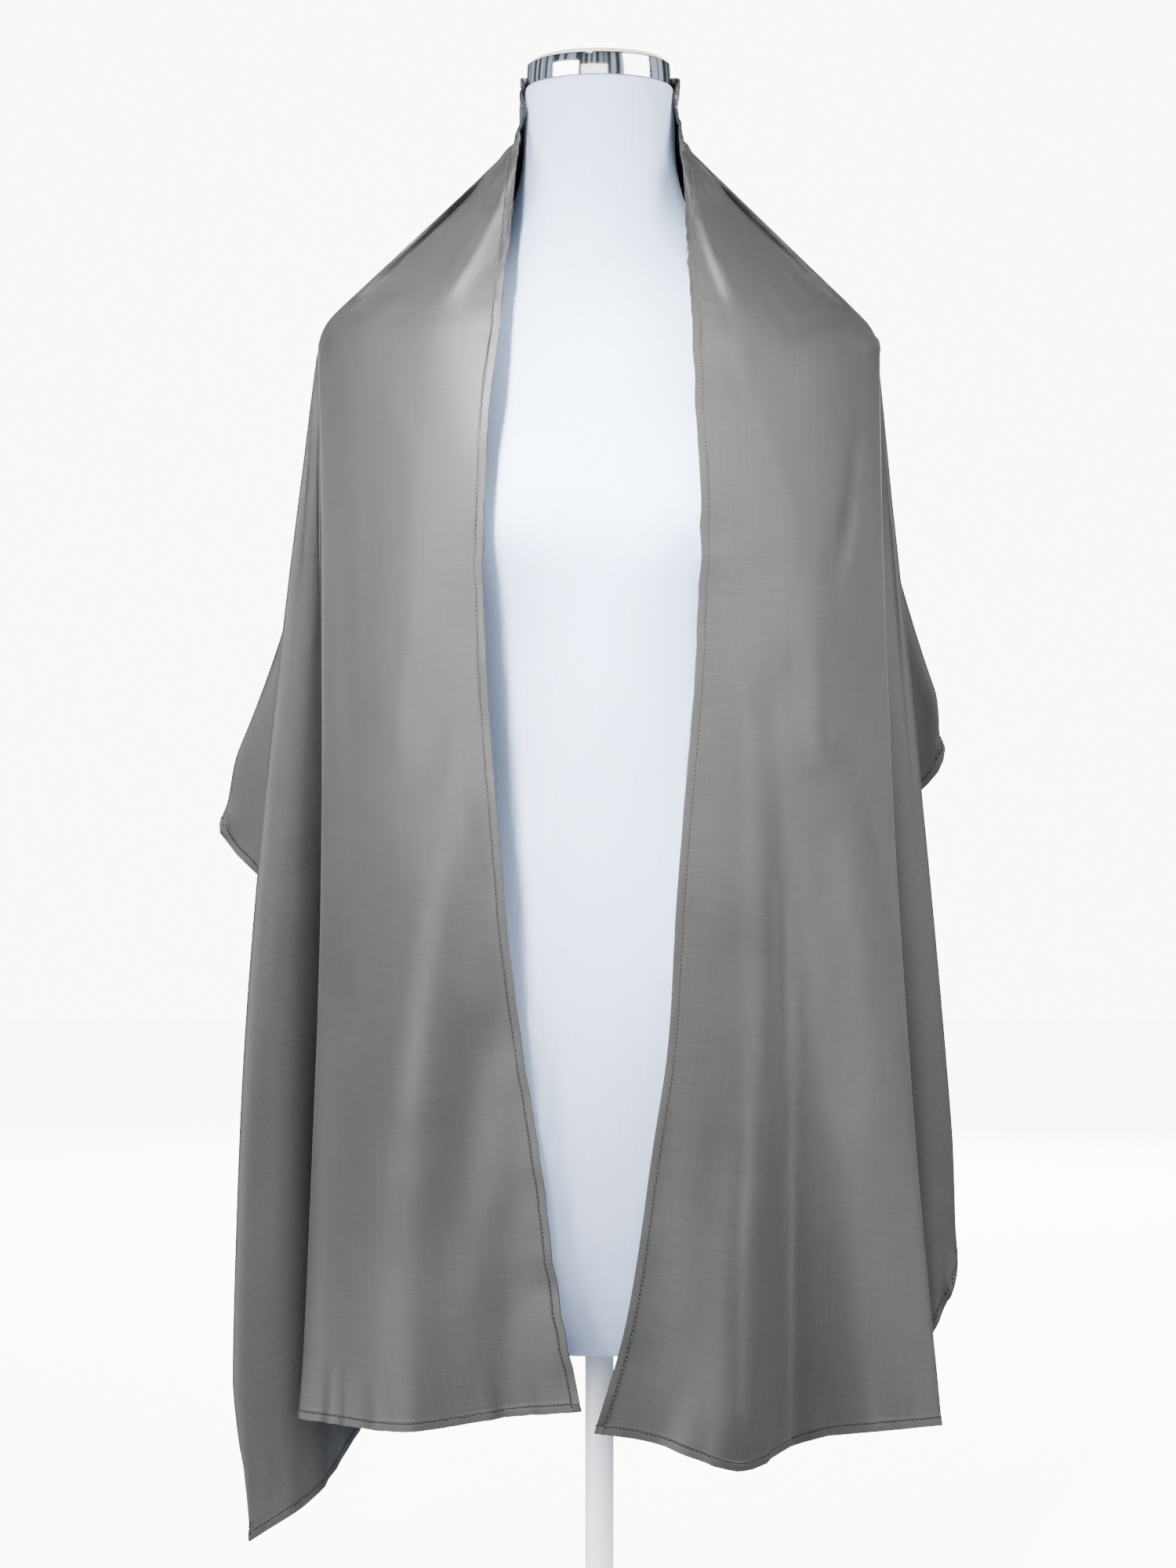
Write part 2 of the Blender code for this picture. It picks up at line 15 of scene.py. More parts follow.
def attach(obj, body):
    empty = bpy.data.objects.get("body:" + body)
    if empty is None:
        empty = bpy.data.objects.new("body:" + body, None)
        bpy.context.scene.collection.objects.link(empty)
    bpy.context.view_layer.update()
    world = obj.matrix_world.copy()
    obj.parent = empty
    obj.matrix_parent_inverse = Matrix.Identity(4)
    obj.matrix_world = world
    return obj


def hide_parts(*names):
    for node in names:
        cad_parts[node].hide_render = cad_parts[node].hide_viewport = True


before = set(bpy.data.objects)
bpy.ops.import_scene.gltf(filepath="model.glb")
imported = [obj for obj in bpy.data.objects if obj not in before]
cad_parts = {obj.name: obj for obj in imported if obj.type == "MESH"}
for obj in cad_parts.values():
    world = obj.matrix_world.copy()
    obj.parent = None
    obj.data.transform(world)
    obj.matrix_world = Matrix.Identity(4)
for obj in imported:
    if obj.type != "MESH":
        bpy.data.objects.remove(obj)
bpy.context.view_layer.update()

# Cut of the stole and where its shoulder points lie in it: along it from an end hem, and across
# it from the neck edge.
CLOTH_LENGTH = 2.06
SHOULDER_S = 0.75
SHOULDER_T = 0.15
NECK_S = 0.89

# Drape
YOKE_ROUND = 0.07
FALL_ROUND = 0.020
NAPE_HUG = 1.00
NAPE_HUG_LOW = 1.000
NAPE_HUG_HIGH = 1.045
NECK_TURN = 2.4
TAUT_FROM = 0.22
TAUT_SPAN = 0.50
ARCH_OUT = 0.60
ARCH_BACK = 0.16
LIFT_OFF_FORM = 0.0012
SLOPE_LIFT = 0.8
SLOPE_LOW = 0.85
SLOPE_HIGH = 1.02
SLOPE_FADE = 0.04
NECK_SHARE = 0.5
EDGE_CROWD = 2.2
ROUND_LIMIT = 0.47
CORNER_SHARP_FROM = 0.9
CORNER_SHARP = 0.85
TIP_SOFT_FROM = 0.84
TIP_SOFT = 1.1
CREASE_START = 0.25
CREASE_FADE = 0.35
CREASE_HEM = 0.2
CREASE_EDGE = 0.12
CORNER_TUCK = 0.0150
CORNER_TUCK_FROM = 0.87
RIDGE_START = 0.16

# Cloth and hem
WALL_PLAIN = 0.0008
WALL_HEM = 0.0013
WALL_CORNER = 0.0018
HEM_WIDTH = 0.0064
STITCH_IN = 0.0054          # from the hem's edge to its stitching
STITCH_PITCH = 0.0030
STITCH_LENGTH = 0.0021
STITCH_THICK = 0.0009
PUCKER_RISE = 0.0036
PUCKER_REACH = 0.022

# Form
NECK_RADIUS = 0.0528
NECK_TOP = 1.0867
NECK_EASE = 0.0013
RING_RADIUS = 0.0512
RING_BORE = 0.0470
RING_HEIGHT = 0.0160
CAP_RADIUS = 0.0485
CAP_STEM_RADIUS = 0.0465
CAP_RISE = 0.0030
SEAT_GAP = 0.0003
FORM_BOTTOM = 0.2155
BUST_X = 0.073
BUST_Z = 0.772
BUST_RISE = 0.022
BUST_SPREAD = 0.050
BUST_FADE = 0.06

# Stand
BASE_RADIUS = 0.140
BASE_THICK = 0.008
BASE_EDGE = 0.002
POLE_RADIUS = 0.010

# Body sections of the form: height, half width, front, back.
FORM_SECTIONS = (
    (FORM_BOTTOM, 0.150, 0.098, 0.104),
    (0.2200, 0.153, 0.101, 0.107),
    (0.2800, 0.158, 0.108, 0.116),
    (0.3600, 0.158, 0.108, 0.118),
    (0.4400, 0.148, 0.102, 0.108),
    (0.5200, 0.130, 0.094, 0.092),
    (0.5900, 0.120, 0.090, 0.083),
    (0.6600, 0.126, 0.096, 0.087),
    (0.7200, 0.136, 0.103, 0.093),
    (0.7700, 0.143, 0.107, 0.098),
    (0.8200, 0.149, 0.102, 0.101),
    (0.8600, 0.165, 0.091, 0.100),
    (0.8850, 0.187, 0.083, 0.097),
    (0.8980, 0.1938, 0.078, 0.094),
    (0.9060, 0.1949, 0.075, 0.092),
    (0.9120, 0.1928, 0.073, 0.090),
    (0.9200, 0.1800, 0.070, 0.087),
    (0.9310, 0.1520, 0.066, 0.083),
    (0.9450, 0.1200, 0.062, 0.077),
    (0.9700, 0.082, 0.057, 0.069),
    (1.0000, 0.063, 0.0545, 0.060),
    (1.0300, 0.0545, 0.0530, 0.0545),
    (1.0600, NECK_RADIUS, NECK_RADIUS, NECK_RADIUS),
    (1.0840, NECK_RADIUS, NECK_RADIUS, NECK_RADIUS),
    (NECK_TOP, NECK_RADIUS - NECK_EASE, NECK_RADIUS - NECK_EASE, NECK_RADIUS - NECK_EASE),
)

# Opening edge of each front panel, from the neck down: height, distance from the middle, depth.
LEFT_EDGE = (
    (0.9677, 0.0623, -0.073),
    (0.9350, 0.0655, -0.090),
    (0.9015, 0.0677, -0.104),
    (0.8604, 0.0730, -0.120),
    (0.8069, 0.0757, -0.134),
    (0.7469, 0.0775, -0.138),
    (0.6482, 0.0734, -0.137),
    (0.5887, 0.0683, -0.137),
    (0.4961, 0.0605, -0.137),
    (0.4164, 0.0502, -0.137),
    (0.3440, 0.0388, -0.137),
    (0.2683, 0.0290, -0.136),
    (0.1854, 0.0124, -0.135),
)
RIGHT_EDGE = (
    (0.9600, 0.0600, -0.078),
    (0.9300, 0.0612, -0.092),
    (0.8980, 0.0622, -0.106),
    (0.8607, 0.0632, -0.119),
    (0.8012, 0.0658, -0.134),
    (0.7729, 0.0668, -0.137),
    (0.7195, 0.0646, -0.138),
    (0.6600, 0.0615, -0.138),
    (0.6068, 0.0569, -0.138),
    (0.5220, 0.0501, -0.138),
    (0.4269, 0.0445, -0.138),
    (0.3540, 0.0336, -0.138),
    (0.2893, 0.0248, -0.138),
    (0.2345, 0.0145, -0.138),
    (0.1716, -0.0041, -0.136),
)

# Neck edge round one side of the neck: part of the way, angle (degrees), radius, height.
NECK_EDGE = (
    (0.00, -37.0, 0.0722, 1.0207),
    (0.16, -29.0, 0.0634, 1.0440),
    (0.30, -21.0, 0.0580, 1.0680),
    (0.45, -10.0, 0.0546, 1.0900),
    (0.60, 14.0, 0.0540, 1.0985),
    (0.80, 50.0, 0.0540, 1.1000),
    (1.00, 90.0, 0.0540, 1.0985),
)

# Folds from the shoulder point down: name, place on the neck edge, shoulder (x, y, z), lower end
# (x, y, z), bow outward, ease, roundness, place of the lower end in the cut (along, across).
LEFT_FOLDS = (
    ("front ridge", 0.16, (0.1970, -0.008, 0.9180), (0.2090, -0.040, 0.1634), -0.0095, 1.0, 0.009, (0.000, 0.213)),
    ("inner turn", 0.20, (0.1967, -0.003, 0.9180), (0.1740, -0.004, 0.1550), 0.0, 1.3, 0.020, (0.000, 0.270)),
    ("valley", 0.24, (0.1967, 0.002, 0.9177), (0.1640, 0.090, 0.1450), 0.0, 1.4, 0.018, (0.000, 0.360)),
    ("side panel", 0.28, (0.1970, 0.006, 0.9174), (0.1980, -0.010, 0.1000), 0.004, 1.0, 0.025, (0.000, 0.455)),
    ("side ridge", 0.32, (0.1975, 0.010, 0.9170), (0.2600, -0.014, 0.0710), 0.0180, 1.0, 0.016, (0.000, 0.515)),
    ("far valley", 0.38, (0.1970, 0.015, 0.9165), (0.1930, 0.118, 0.3200), 0.0, 1.3, 0.016, (0.270, 0.515)),
    ("far ridge", 0.43, (0.1960, 0.020, 0.9155), (0.2320, 0.098, 0.4000), 0.0, 1.1, 0.012, (0.400, 0.515)),
    ("wing valley", 0.49, (0.1945, 0.025, 0.9140), (0.1800, 0.126, 0.4650), 0.0, 1.2, 0.014, (0.530, 0.515)),
    ("wing", 0.55, (0.1925, 0.031, 0.9120), (0.2985, 0.128, 0.5764), -0.017, 1.0, 0.020, (0.745, 0.515)),
    ("back wave", 0.66, (0.1600, 0.064, 0.9080), (0.1900, 0.134, 0.5850), 0.0, 1.0, 0.035, (0.835, 0.515)),
    ("back flat", 0.78, (0.1080, 0.094, 0.9120), (0.1250, 0.142, 0.6000), 0.0, 1.0, 0.035, (0.905, 0.515)),
    ("blade", 0.89, (0.0550, 0.105, 0.9180), (0.0620, 0.137, 0.6080), 0.0, 1.0, 0.030, (0.967, 0.515)),
)
RIGHT_FOLDS = (
    ("front ridge", 0.16, (0.1955, -0.008, 0.9150), (0.2355, -0.060, 0.1619), -0.0090, 1.0, 0.009, (0.000, 0.290)),
    ("inner turn", 0.20, (0.1952, -0.003, 0.9150), (0.2020, 0.020, 0.1420), 0.0, 1.3, 0.022, (0.000, 0.365)),
    ("valley", 0.24, (0.1952, 0.003, 0.9147), (0.1680, 0.135, 0.1155), 0.0, 1.4, 0.016, (0.000, 0.515)),
    ("side panel", 0.28, (0.1955, 0.008, 0.9143), (0.2380, 0.094, 0.1840), 0.0, 1.1, 0.022, (0.090, 0.515)),
    ("side ridge", 0.32, (0.1955, 0.012, 0.9138), (0.2670, 0.104, 0.2478), 0.0050, 1.0, 0.012, (0.165, 0.515)),
    ("far valley", 0.38, (0.1930, 0.018, 0.9115), (0.2000, 0.158, 0.3700), 0.0, 1.3, 0.016, (0.330, 0.515)),
    ("far ridge", 0.43, (0.1920, 0.024, 0.9105), (0.2320, 0.142, 0.4550), 0.0, 1.1, 0.012, (0.450, 0.515)),
    ("wing valley", 0.49, (0.1905, 0.030, 0.9090), (0.1820, 0.164, 0.5300), 0.0, 1.2, 0.014, (0.570, 0.515)),
    ("wing", 0.55, (0.1885, 0.036, 0.9070), (0.2760, 0.160, 0.6300), -0.009, 1.0, 0.020, (0.735, 0.515)),
    ("back wave", 0.66, (0.1560, 0.066, 0.9060), (0.1900, 0.158, 0.6550), 0.0, 1.0, 0.035, (0.830, 0.515)),
    ("back flat", 0.78, (0.1060, 0.094, 0.9120), (0.1250, 0.150, 0.6180), 0.0, 1.0, 0.035, (0.905, 0.515)),
    ("blade", 0.89, (0.0550, 0.105, 0.9180), (0.0620, 0.139, 0.6140), 0.0, 1.0, 0.030, (0.967, 0.515)),
)
NAPE = ("nape", 1.00, (0.0, 0.108, 0.9220), (0.0, 0.134, 0.6120), 0.0, 1.0, 0.030, (1.03, 0.515))

# Soft creases of the front panels: side, upper end (x, z), lower end (x, z), push back at each
# end (negative is forward), half width.
CREASES = (
    ("left", (0.0620, 1.0200), (0.1160, 0.9380), -0.0060, -0.0010, 0.012),
    ("left", (0.0850, 1.0080), (0.1500, 0.9290), 0.0110, 0.0150, 0.025),
    ("left", (0.1000, 0.7450), (0.1250, 0.6000), 0.0030, 0.0030, 0.018),
    ("left", (0.0980, 0.5900), (0.1350, 0.3300), -0.0050, -0.0060, 0.030),
    ("left", (0.0660, 0.4600), (0.0560, 0.1500), 0.0080, 0.0240, 0.038),
    ("left", (0.0450, 0.2300), (0.0350, 0.1700), -0.0020, -0.0030, 0.020),
    ("right", (0.0640, 1.0150), (0.1000, 0.9350), -0.0060, -0.0020, 0.012),
    ("right", (0.0850, 1.0050), (0.1500, 0.9260), 0.0100, 0.0140, 0.024),
    ("right", (0.1100, 0.7400), (0.0900, 0.1500), -0.0005, -0.0340, 0.046),
    ("right", (0.1190, 0.7000), (0.1300, 0.1500), 0.0010, 0.0310, 0.031),
    ("right", (0.0930, 0.4900), (0.0800, 0.3300), 0.0060, 0.0070, 0.022),
)
# Finer creases over them: side, line (x, z) from its upper end, push back at each end, half width.
FINE_CREASES = (
    ("left", ((0.0566, 1.0206), (0.0763, 0.9822), (0.0924, 0.9475), (0.1090, 0.9220)), -0.0048, -0.0028, 0.0052),
    ("left", ((0.0711, 0.9700), (0.0880, 0.9330), (0.0991, 0.9080)), 0.0012, 0.0022, 0.0090),
    ("left", ((0.0592, 1.0139), (0.1000, 0.9640), (0.1400, 0.9230)), 0.0030, 0.0070, 0.0150),
    ("left", ((0.1400, 0.8700), (0.1250, 0.8000), (0.1180, 0.7300), (0.1375, 0.6000)), -0.0008, -0.0030, 0.0160),
    ("left", ((0.0880, 0.7800), (0.0900, 0.7300), (0.1000, 0.6600), (0.1116, 0.6050)), 0.0012, 0.0034, 0.0130),
    ("left", ((0.0800, 0.7400), (0.0870, 0.6700), (0.0980, 0.5900)), -0.0008, -0.0018, 0.0110),
    ("left", ((0.1010, 0.5800), (0.1137, 0.5219), (0.1250, 0.4300), (0.1330, 0.3500)), -0.0030, -0.0030, 0.0160),
    ("left", ((0.0780, 0.5600), (0.0900, 0.5000), (0.0960, 0.4300)), 0.0010, 0.0020, 0.0140),
    ("left", ((0.0700, 0.4700), (0.0930, 0.3600), (0.1064, 0.2600), (0.1000, 0.1500)), 0.0040, 0.0100, 0.0230),
    ("left", ((0.0640, 0.4200), (0.0660, 0.3600), (0.0720, 0.3000)), -0.0012, -0.0014, 0.0120),
    ("left", ((0.0400, 0.2600), (0.0400, 0.2000), (0.0360, 0.1600)), -0.0015, -0.0020, 0.0150),
    ("left", ((0.1700, 0.5200), (0.1780, 0.3600), (0.1800, 0.1500)), 0.0010, 0.0040, 0.0200),
    ("right", ((0.0592, 1.0216), (0.0680, 0.9870), (0.0851, 0.9397), (0.0919, 0.9173)), -0.0040, -0.0030, 0.0048),
    ("right", ((0.0919, 0.9173), (0.1022, 0.8618), (0.1235, 0.8016), (0.1400, 0.7400)), -0.0018, -0.0020, 0.0070),
    ("right", ((0.0638, 1.0113), (0.1050, 0.9560), (0.1450, 0.9100)), 0.0030, 0.0070, 0.0150),
    ("right", ((0.1790, 0.8590), (0.1728, 0.8037), (0.1620, 0.7420)), 0.0045, 0.0055, 0.0055),
    ("right", ((0.1700, 0.8600), (0.1600, 0.8050), (0.1500, 0.7400)), -0.0020, -0.0020, 0.0110),
    ("right", ((0.0850, 0.7900), (0.0960, 0.7243), (0.1168, 0.6257)), 0.0012, 0.0036, 0.0150),
    ("right", ((0.1130, 0.8000), (0.1190, 0.6500), (0.1250, 0.5200), (0.1261, 0.3921), (0.1230, 0.1500)), 0.0005, 0.0100, 0.0120),
    ("right", ((0.0990, 0.8200), (0.1000, 0.6400), (0.1000, 0.5000), (0.0970, 0.3921), (0.0950, 0.1700)), -0.0005, -0.0085, 0.0170),
    ("right", ((0.1300, 0.7200), (0.1427, 0.6776), (0.1453, 0.5997)), -0.0020, -0.0050, 0.0120),
    ("right", ((0.1480, 0.5900), (0.1609, 0.4699), (0.1700, 0.3600)), 0.0040, 0.0030, 0.0120),
    ("right", ((0.0620, 0.5300), (0.0520, 0.4300), (0.0441, 0.3200)), 0.0010, 0.0026, 0.0150),
    ("right", ((0.0700, 0.4200), (0.0620, 0.3200), (0.0560, 0.2300)), -0.0012, -0.0012, 0.0150),
)
FINE_FADE = 0.16            # share of its line over which each of them fades in and out

# Extra drop of each front panel's end hem: most, where across the panel, and how wide.
HEM_SAG = {"left": (0.008, 0.50, 0.35), "right": (0.019, 0.38, 0.20)}

# Rows and columns of the cloth's grid.
BACK_SOFT_FROM = 0.03
BACK_SOFT_OVER = 0.05
BACK_SOFT_ROWS = 13
BACK_SOFT_TURNS = 60
YOKE_ROWS = 22
TURN_ROWS = 7
FALL_ROWS = 66
PANEL_COLUMNS = 48
CORNER_STEPS = 7
FLANK_STEPS = 5
HEM_STEPS = (0.0, 0.0014, 0.0034, 0.0048, 0.0054, 0.0060, 0.0068, 0.0092)
HEM_ROOM = 0.0125           # the grid's own rows and columns start this far in


def smooth_step(value):
    value = np.clip(value, 0.0, 1.0)
    return value * value * (3.0 - 2.0 * value)


def table_curve(table, at):
    """Read a table's other columns at a value of its first column, through a smooth curve."""
    rows = np.array(sorted(table))
    at = float(np.clip(at, rows[0, 0], rows[-1, 0]))
    index = int(np.clip(np.searchsorted(rows[:, 0], at) - 1, 0, len(rows) - 2))
    here, there = rows[index], rows[index + 1]
    before = rows[max(index - 1, 0)]
    after = rows[min(index + 2, len(rows) - 1)]
    span = there[0] - here[0]
    part = (at - here[0]) / span
    slope_here = (there[1:] - before[1:]) / (there[0] - before[0]) * span
    slope_there = (after[1:] - here[1:]) / (after[0] - here[0]) * span
    return (
        (2 * part**3 - 3 * part**2 + 1) * here[1:]
        + (part**3 - 2 * part**2 + part) * slope_here
        + (3 * part**2 - 2 * part**3) * there[1:]
        + (part**3 - part**2) * slope_there
    )


def form_reach(angle, height):
    """Distance of the form's cover from the middle line at an angle from +X and a height."""
    half, front, back = table_curve(FORM_SECTIONS, height)
    depth = front if math.sin(angle) < 0.0 else back
    reach = half * depth / math.hypot(depth * math.cos(angle), half * math.sin(angle))
    x, y = reach * math.cos(angle), reach * math.sin(angle)
    if y < 0.0:
        for side in (-1.0, 1.0):
            away = ((x - side * BUST_X) ** 2 + (height - BUST_Z) ** 2) / BUST_SPREAD**2
            reach += BUST_RISE * math.exp(-away) * min(1.0, -y / BUST_FADE)
    return reach


def clear_of_form(point):
    """Move a cloth point straight out from the middle line until it lies on the cover or the ring."""
    x, y, z = point[:3]
    if not FORM_BOTTOM < z < NECK_TOP + RING_HEIGHT:
        return point
    if math.hypot(x / 0.20, y / 0.13) > 1.0:
        return point
    angle = math.atan2(y, x)
    sloped = smooth_step((z - SLOPE_LOW) / SLOPE_FADE) * smooth_step((SLOPE_HIGH - z) / SLOPE_FADE)
    least = form_reach(angle, min(z, NECK_TOP - 2 * NECK_EASE)) + LIFT_OFF_FORM * (1.0 + SLOPE_LIFT * sloped)
    if math.hypot(x, y) < least:
        point = point.copy()
        point[0], point[1] = least * math.cos(angle), least * math.sin(angle)
    return point


def neck_point(place, side):
    """Point of the neck edge, with its place in the cut after the three coordinates."""
    angle, radius, height = table_curve(NECK_EDGE, place)
    turn = math.radians(angle)
    along = NECK_S + (place - RIDGE_START) / (1.0 - RIDGE_START) * (CLOTH_LENGTH / 2 - NECK_S)
    return np.array([side * radius * math.cos(turn), radius * math.sin(turn), height, along, 0.0])


def edge_point(edge, height, side, along):
    x, y = table_curve(edge, height)
    return np.array([side * x, y, height, along, 0.0])


def crease_push(side_name, x, z):
    push = 0.0
    for name, upper, lower, push_upper, push_lower, width in CREASES:
        if name != side_name:
            continue
        line_x, line_z = lower[0] - upper[0], lower[1] - upper[1]
        length = math.hypot(line_x, line_z)
        off_x, off_z = x - upper[0], z - upper[1]
        part = (off_x * line_x + off_z * line_z) / length**2
        across = abs(off_x * line_z - off_z * line_x) / length
        if across > 3.0 * width:
            continue
        fade = smooth_step((part + CREASE_START) / CREASE_FADE)
        if lower[1] > CREASE_HEM:
            fade *= smooth_step((1.0 + CREASE_START - part) / CREASE_FADE)
        amount = push_upper + (push_lower - push_upper) * min(max(part, 0.0), 1.0)
        push += amount * fade * math.exp(-((across / width) ** 2))
    for name, line, push_upper, push_lower, width in FINE_CREASES:
        if name == side_name:
            push += fine_push(line, push_upper, push_lower, width, x, z)
    return push


def fine_push(line, push_upper, push_lower, width, x, z):
    """Push of one fine crease at a point: by how near its line is, and how far down it."""
    if not line[-1][1] - width < z < line[0][1] + width:
        return 0.0
    lengths = [math.dist(here, there) for here, there in zip(line, line[1:])]
    nearest, place, gone = 1.0, 0.0, 0.0
    for (here, there), length in zip(zip(line, line[1:]), lengths):
        part = ((x - here[0]) * (there[0] - here[0]) + (z - here[1]) * (there[1] - here[1])) / length**2
        part = min(max(part, 0.0), 1.0)
        away = math.hypot(x - here[0] - (there[0] - here[0]) * part, z - here[1] - (there[1] - here[1]) * part)
        if away < nearest:
            nearest, place = away, (gone + length * part) / sum(lengths)
        gone += length
    fade = smooth_step(place / FINE_FADE)
    if line[-1][1] > CREASE_HEM:
        fade *= smooth_step((1.0 - place) / FINE_FADE)
    return (push_upper + (push_lower - push_upper) * place) * fade * math.exp(-((nearest / width) ** 2))


class Side:
    """One half of the stole, from its opening edge round to the nape."""

    def __init__(self, name, sign, edge, folds):
        self.name = name
        self.sign = sign
        self.edge = edge
        self.folds = folds + (NAPE,)
        self.soft_tips = ("wing",) if name == "left" else ("wing", "side ridge")
        self.edge_top = edge[0][0]
        self.edge_turn = edge[2][0]
        self.edge_end = edge[-1][0]

    def yoke(self, fold, part):
        start = neck_point(fold[1], self.sign)
        x, y, z = fold[2]
        end = np.array([self.sign * x, y, z, SHOULDER_S, SHOULDER_T])
        spread = smooth_step((fold[1] - 0.5) / 0.5)
        end[3] += spread * (fold[7][0] - SHOULDER_S)
        end[4] += spread * 0.03
        if fold[1] <= RIDGE_START:
            return start + (end - start) * part
        hug = (start + end) / 2
        hug[:2] = start[:2] * NAPE_HUG
        taut = 1.0 - smooth_step((fold[1] - TAUT_FROM) / TAUT_SPAN)
        hug[2] = NAPE_HUG_LOW + (NAPE_HUG_HIGH - NAPE_HUG_LOW) * taut
        leave, turn, reach = (1 - part) ** 2, 2 * (1.0 + NECK_TURN * taut) * part * (1 - part), part**2
        return (leave * start + turn * hug + reach * end) / (leave + turn + reach)

    def fall(self, fold, part):
        x, y, z = fold[2]
        end_x, end_y, end_z = fold[3]
        eased = part ** fold[5]
        start_cloth = self.yoke(fold, 1.0)[3:]
        out = x + (end_x - x) * eased + fold[4] * 4.0 * part * (1.0 - part)
        if self.name == "left" and fold[0] == "side ridge":
            out -= CORNER_TUCK * smooth_step((part - CORNER_TUCK_FROM) / (1.0 - CORNER_TUCK_FROM))
        cloth = start_cloth + (np.array(fold[7]) - start_cloth) * part
        return np.array([
            self.sign * out,
            y + (end_y - y) * eased,
            z + (end_z - z) * part,
            cloth[0],
            cloth[1],
        ])

    def panel_row(self, level, part):
        """Points of the front panel in one row of the yoke or the fall."""
        if level == "yoke":
            low_edge = edge_point(self.edge, self.edge_turn, self.sign, SHOULDER_S)
            low_ridge = self.yoke(self.folds[0], 1.0)
        else:
            height = self.edge_turn + (self.edge_end - self.edge_turn) * part
            low_edge = edge_point(self.edge, height, self.sign, SHOULDER_S * (1.0 - part))
            low_ridge = self.fall(self.folds[0], part)
        points = []
        for across in PANEL_SHARES:
            point = self.arch(across, low_edge, low_ridge)
            if level == "yoke":
                top = self.panel_top(across)
                point = top + (point - top) * part
            else:
                sag, middle, spread = HEM_SAG[self.name]
                point[2] -= sag * part * math.exp(-(((across - middle) / spread) ** 2))
            push = crease_push(self.name, self.sign * point[0], point[2])
            point[1] += push * smooth_step((1.0 - across) / CREASE_EDGE)
            points.append(point)
        return points

    def panel_top(self, across):
        share = 1.0 - (1.0 - across) ** EDGE_CROWD
        if share < NECK_SHARE:
            here = edge_point(self.edge, self.edge_top, self.sign, 0.0)
            there = neck_point(0.0, self.sign)
            top = here + (there - here) * share / NECK_SHARE
        else:
            top = neck_point((share - NECK_SHARE) / (1.0 - NECK_SHARE) * RIDGE_START, self.sign)
        top[3] = NECK_S - 0.10 * (1.0 - share)
        return top

    def arch(self, across, edge, ridge):
        turn = edge + (ridge - edge) * ARCH_OUT
        turn[1] = edge[1] + (ridge[1] - edge[1]) * ARCH_BACK
        bowed = (1 - across) ** 2 * edge + 2 * across * (1 - across) * turn + across**2 * ridge
        bowed[3:] = (edge + (ridge - edge) * across)[3:]
        return bowed

    def row(self, level, part):
        """One row of the cloth, from the opening edge to the nape."""
        corners = []
        for fold in self.folds:
            point = self.yoke(fold, part) if level == "yoke" else self.fall(fold, part)
            round_by = fold[6]
            if self.name == "left" and fold[0] == "side ridge" and level == "fall" and part > CORNER_SHARP_FROM:
                round_by *= 1.0 - CORNER_SHARP * (part - CORNER_SHARP_FROM) / (1.0 - CORNER_SHARP_FROM)
            if fold[0] in self.soft_tips and level == "fall":
                round_by *= 1.0 + TIP_SOFT * smooth_step((part - TIP_SOFT_FROM) / (1.0 - TIP_SOFT_FROM))
            corners.append((point, round_by))
        return self.panel_row(level, part), corners


PANEL_SHARES = [0.0] + list(np.linspace(0.05, 0.955, PANEL_COLUMNS - 1))
LEFT = Side("left", -1.0, LEFT_EDGE, LEFT_FOLDS)
RIGHT = Side("right", 1.0, RIGHT_EDGE, RIGHT_FOLDS)


def cloth_row(level, part):
    """A whole row: the left panel, the folds round to the right one with rounded turns, its panel."""
    left_panel, left_corners = LEFT.row(level, part)
    right_panel, right_corners = RIGHT.row(level, part)
    corners = left_corners + right_corners[-2::-1]
    stops = [left_panel[-1]] + [corner for corner, _ in corners] + [right_panel[-1]]
    turns = []
    for index, (corner, round_by) in enumerate(corners):
        before, after = stops[index], stops[index + 2]
        cut_in = min(round_by / np.linalg.norm((corner - before)[:3]), ROUND_LIMIT)
        cut_out = min(round_by / np.linalg.norm((corner - after)[:3]), ROUND_LIMIT)
        enter = corner + (before - corner) * cut_in
        leave = corner + (after - corner) * cut_out
        step = np.linspace(0.0, 1.0, CORNER_STEPS)[:, None]
        turns.append((1 - step) ** 2 * enter + 2 * step * (1 - step) * corner + step**2 * leave)
    points = list(left_panel)
    for index, turn in enumerate(turns):
        if index:
            last = turns[index - 1][-1]
            for step in range(1, FLANK_STEPS + 1):
                points.append(last + (turn[0] - last) * step / (FLANK_STEPS + 1))
        points += list(turn)
    return np.array(points + right_panel[::-1])


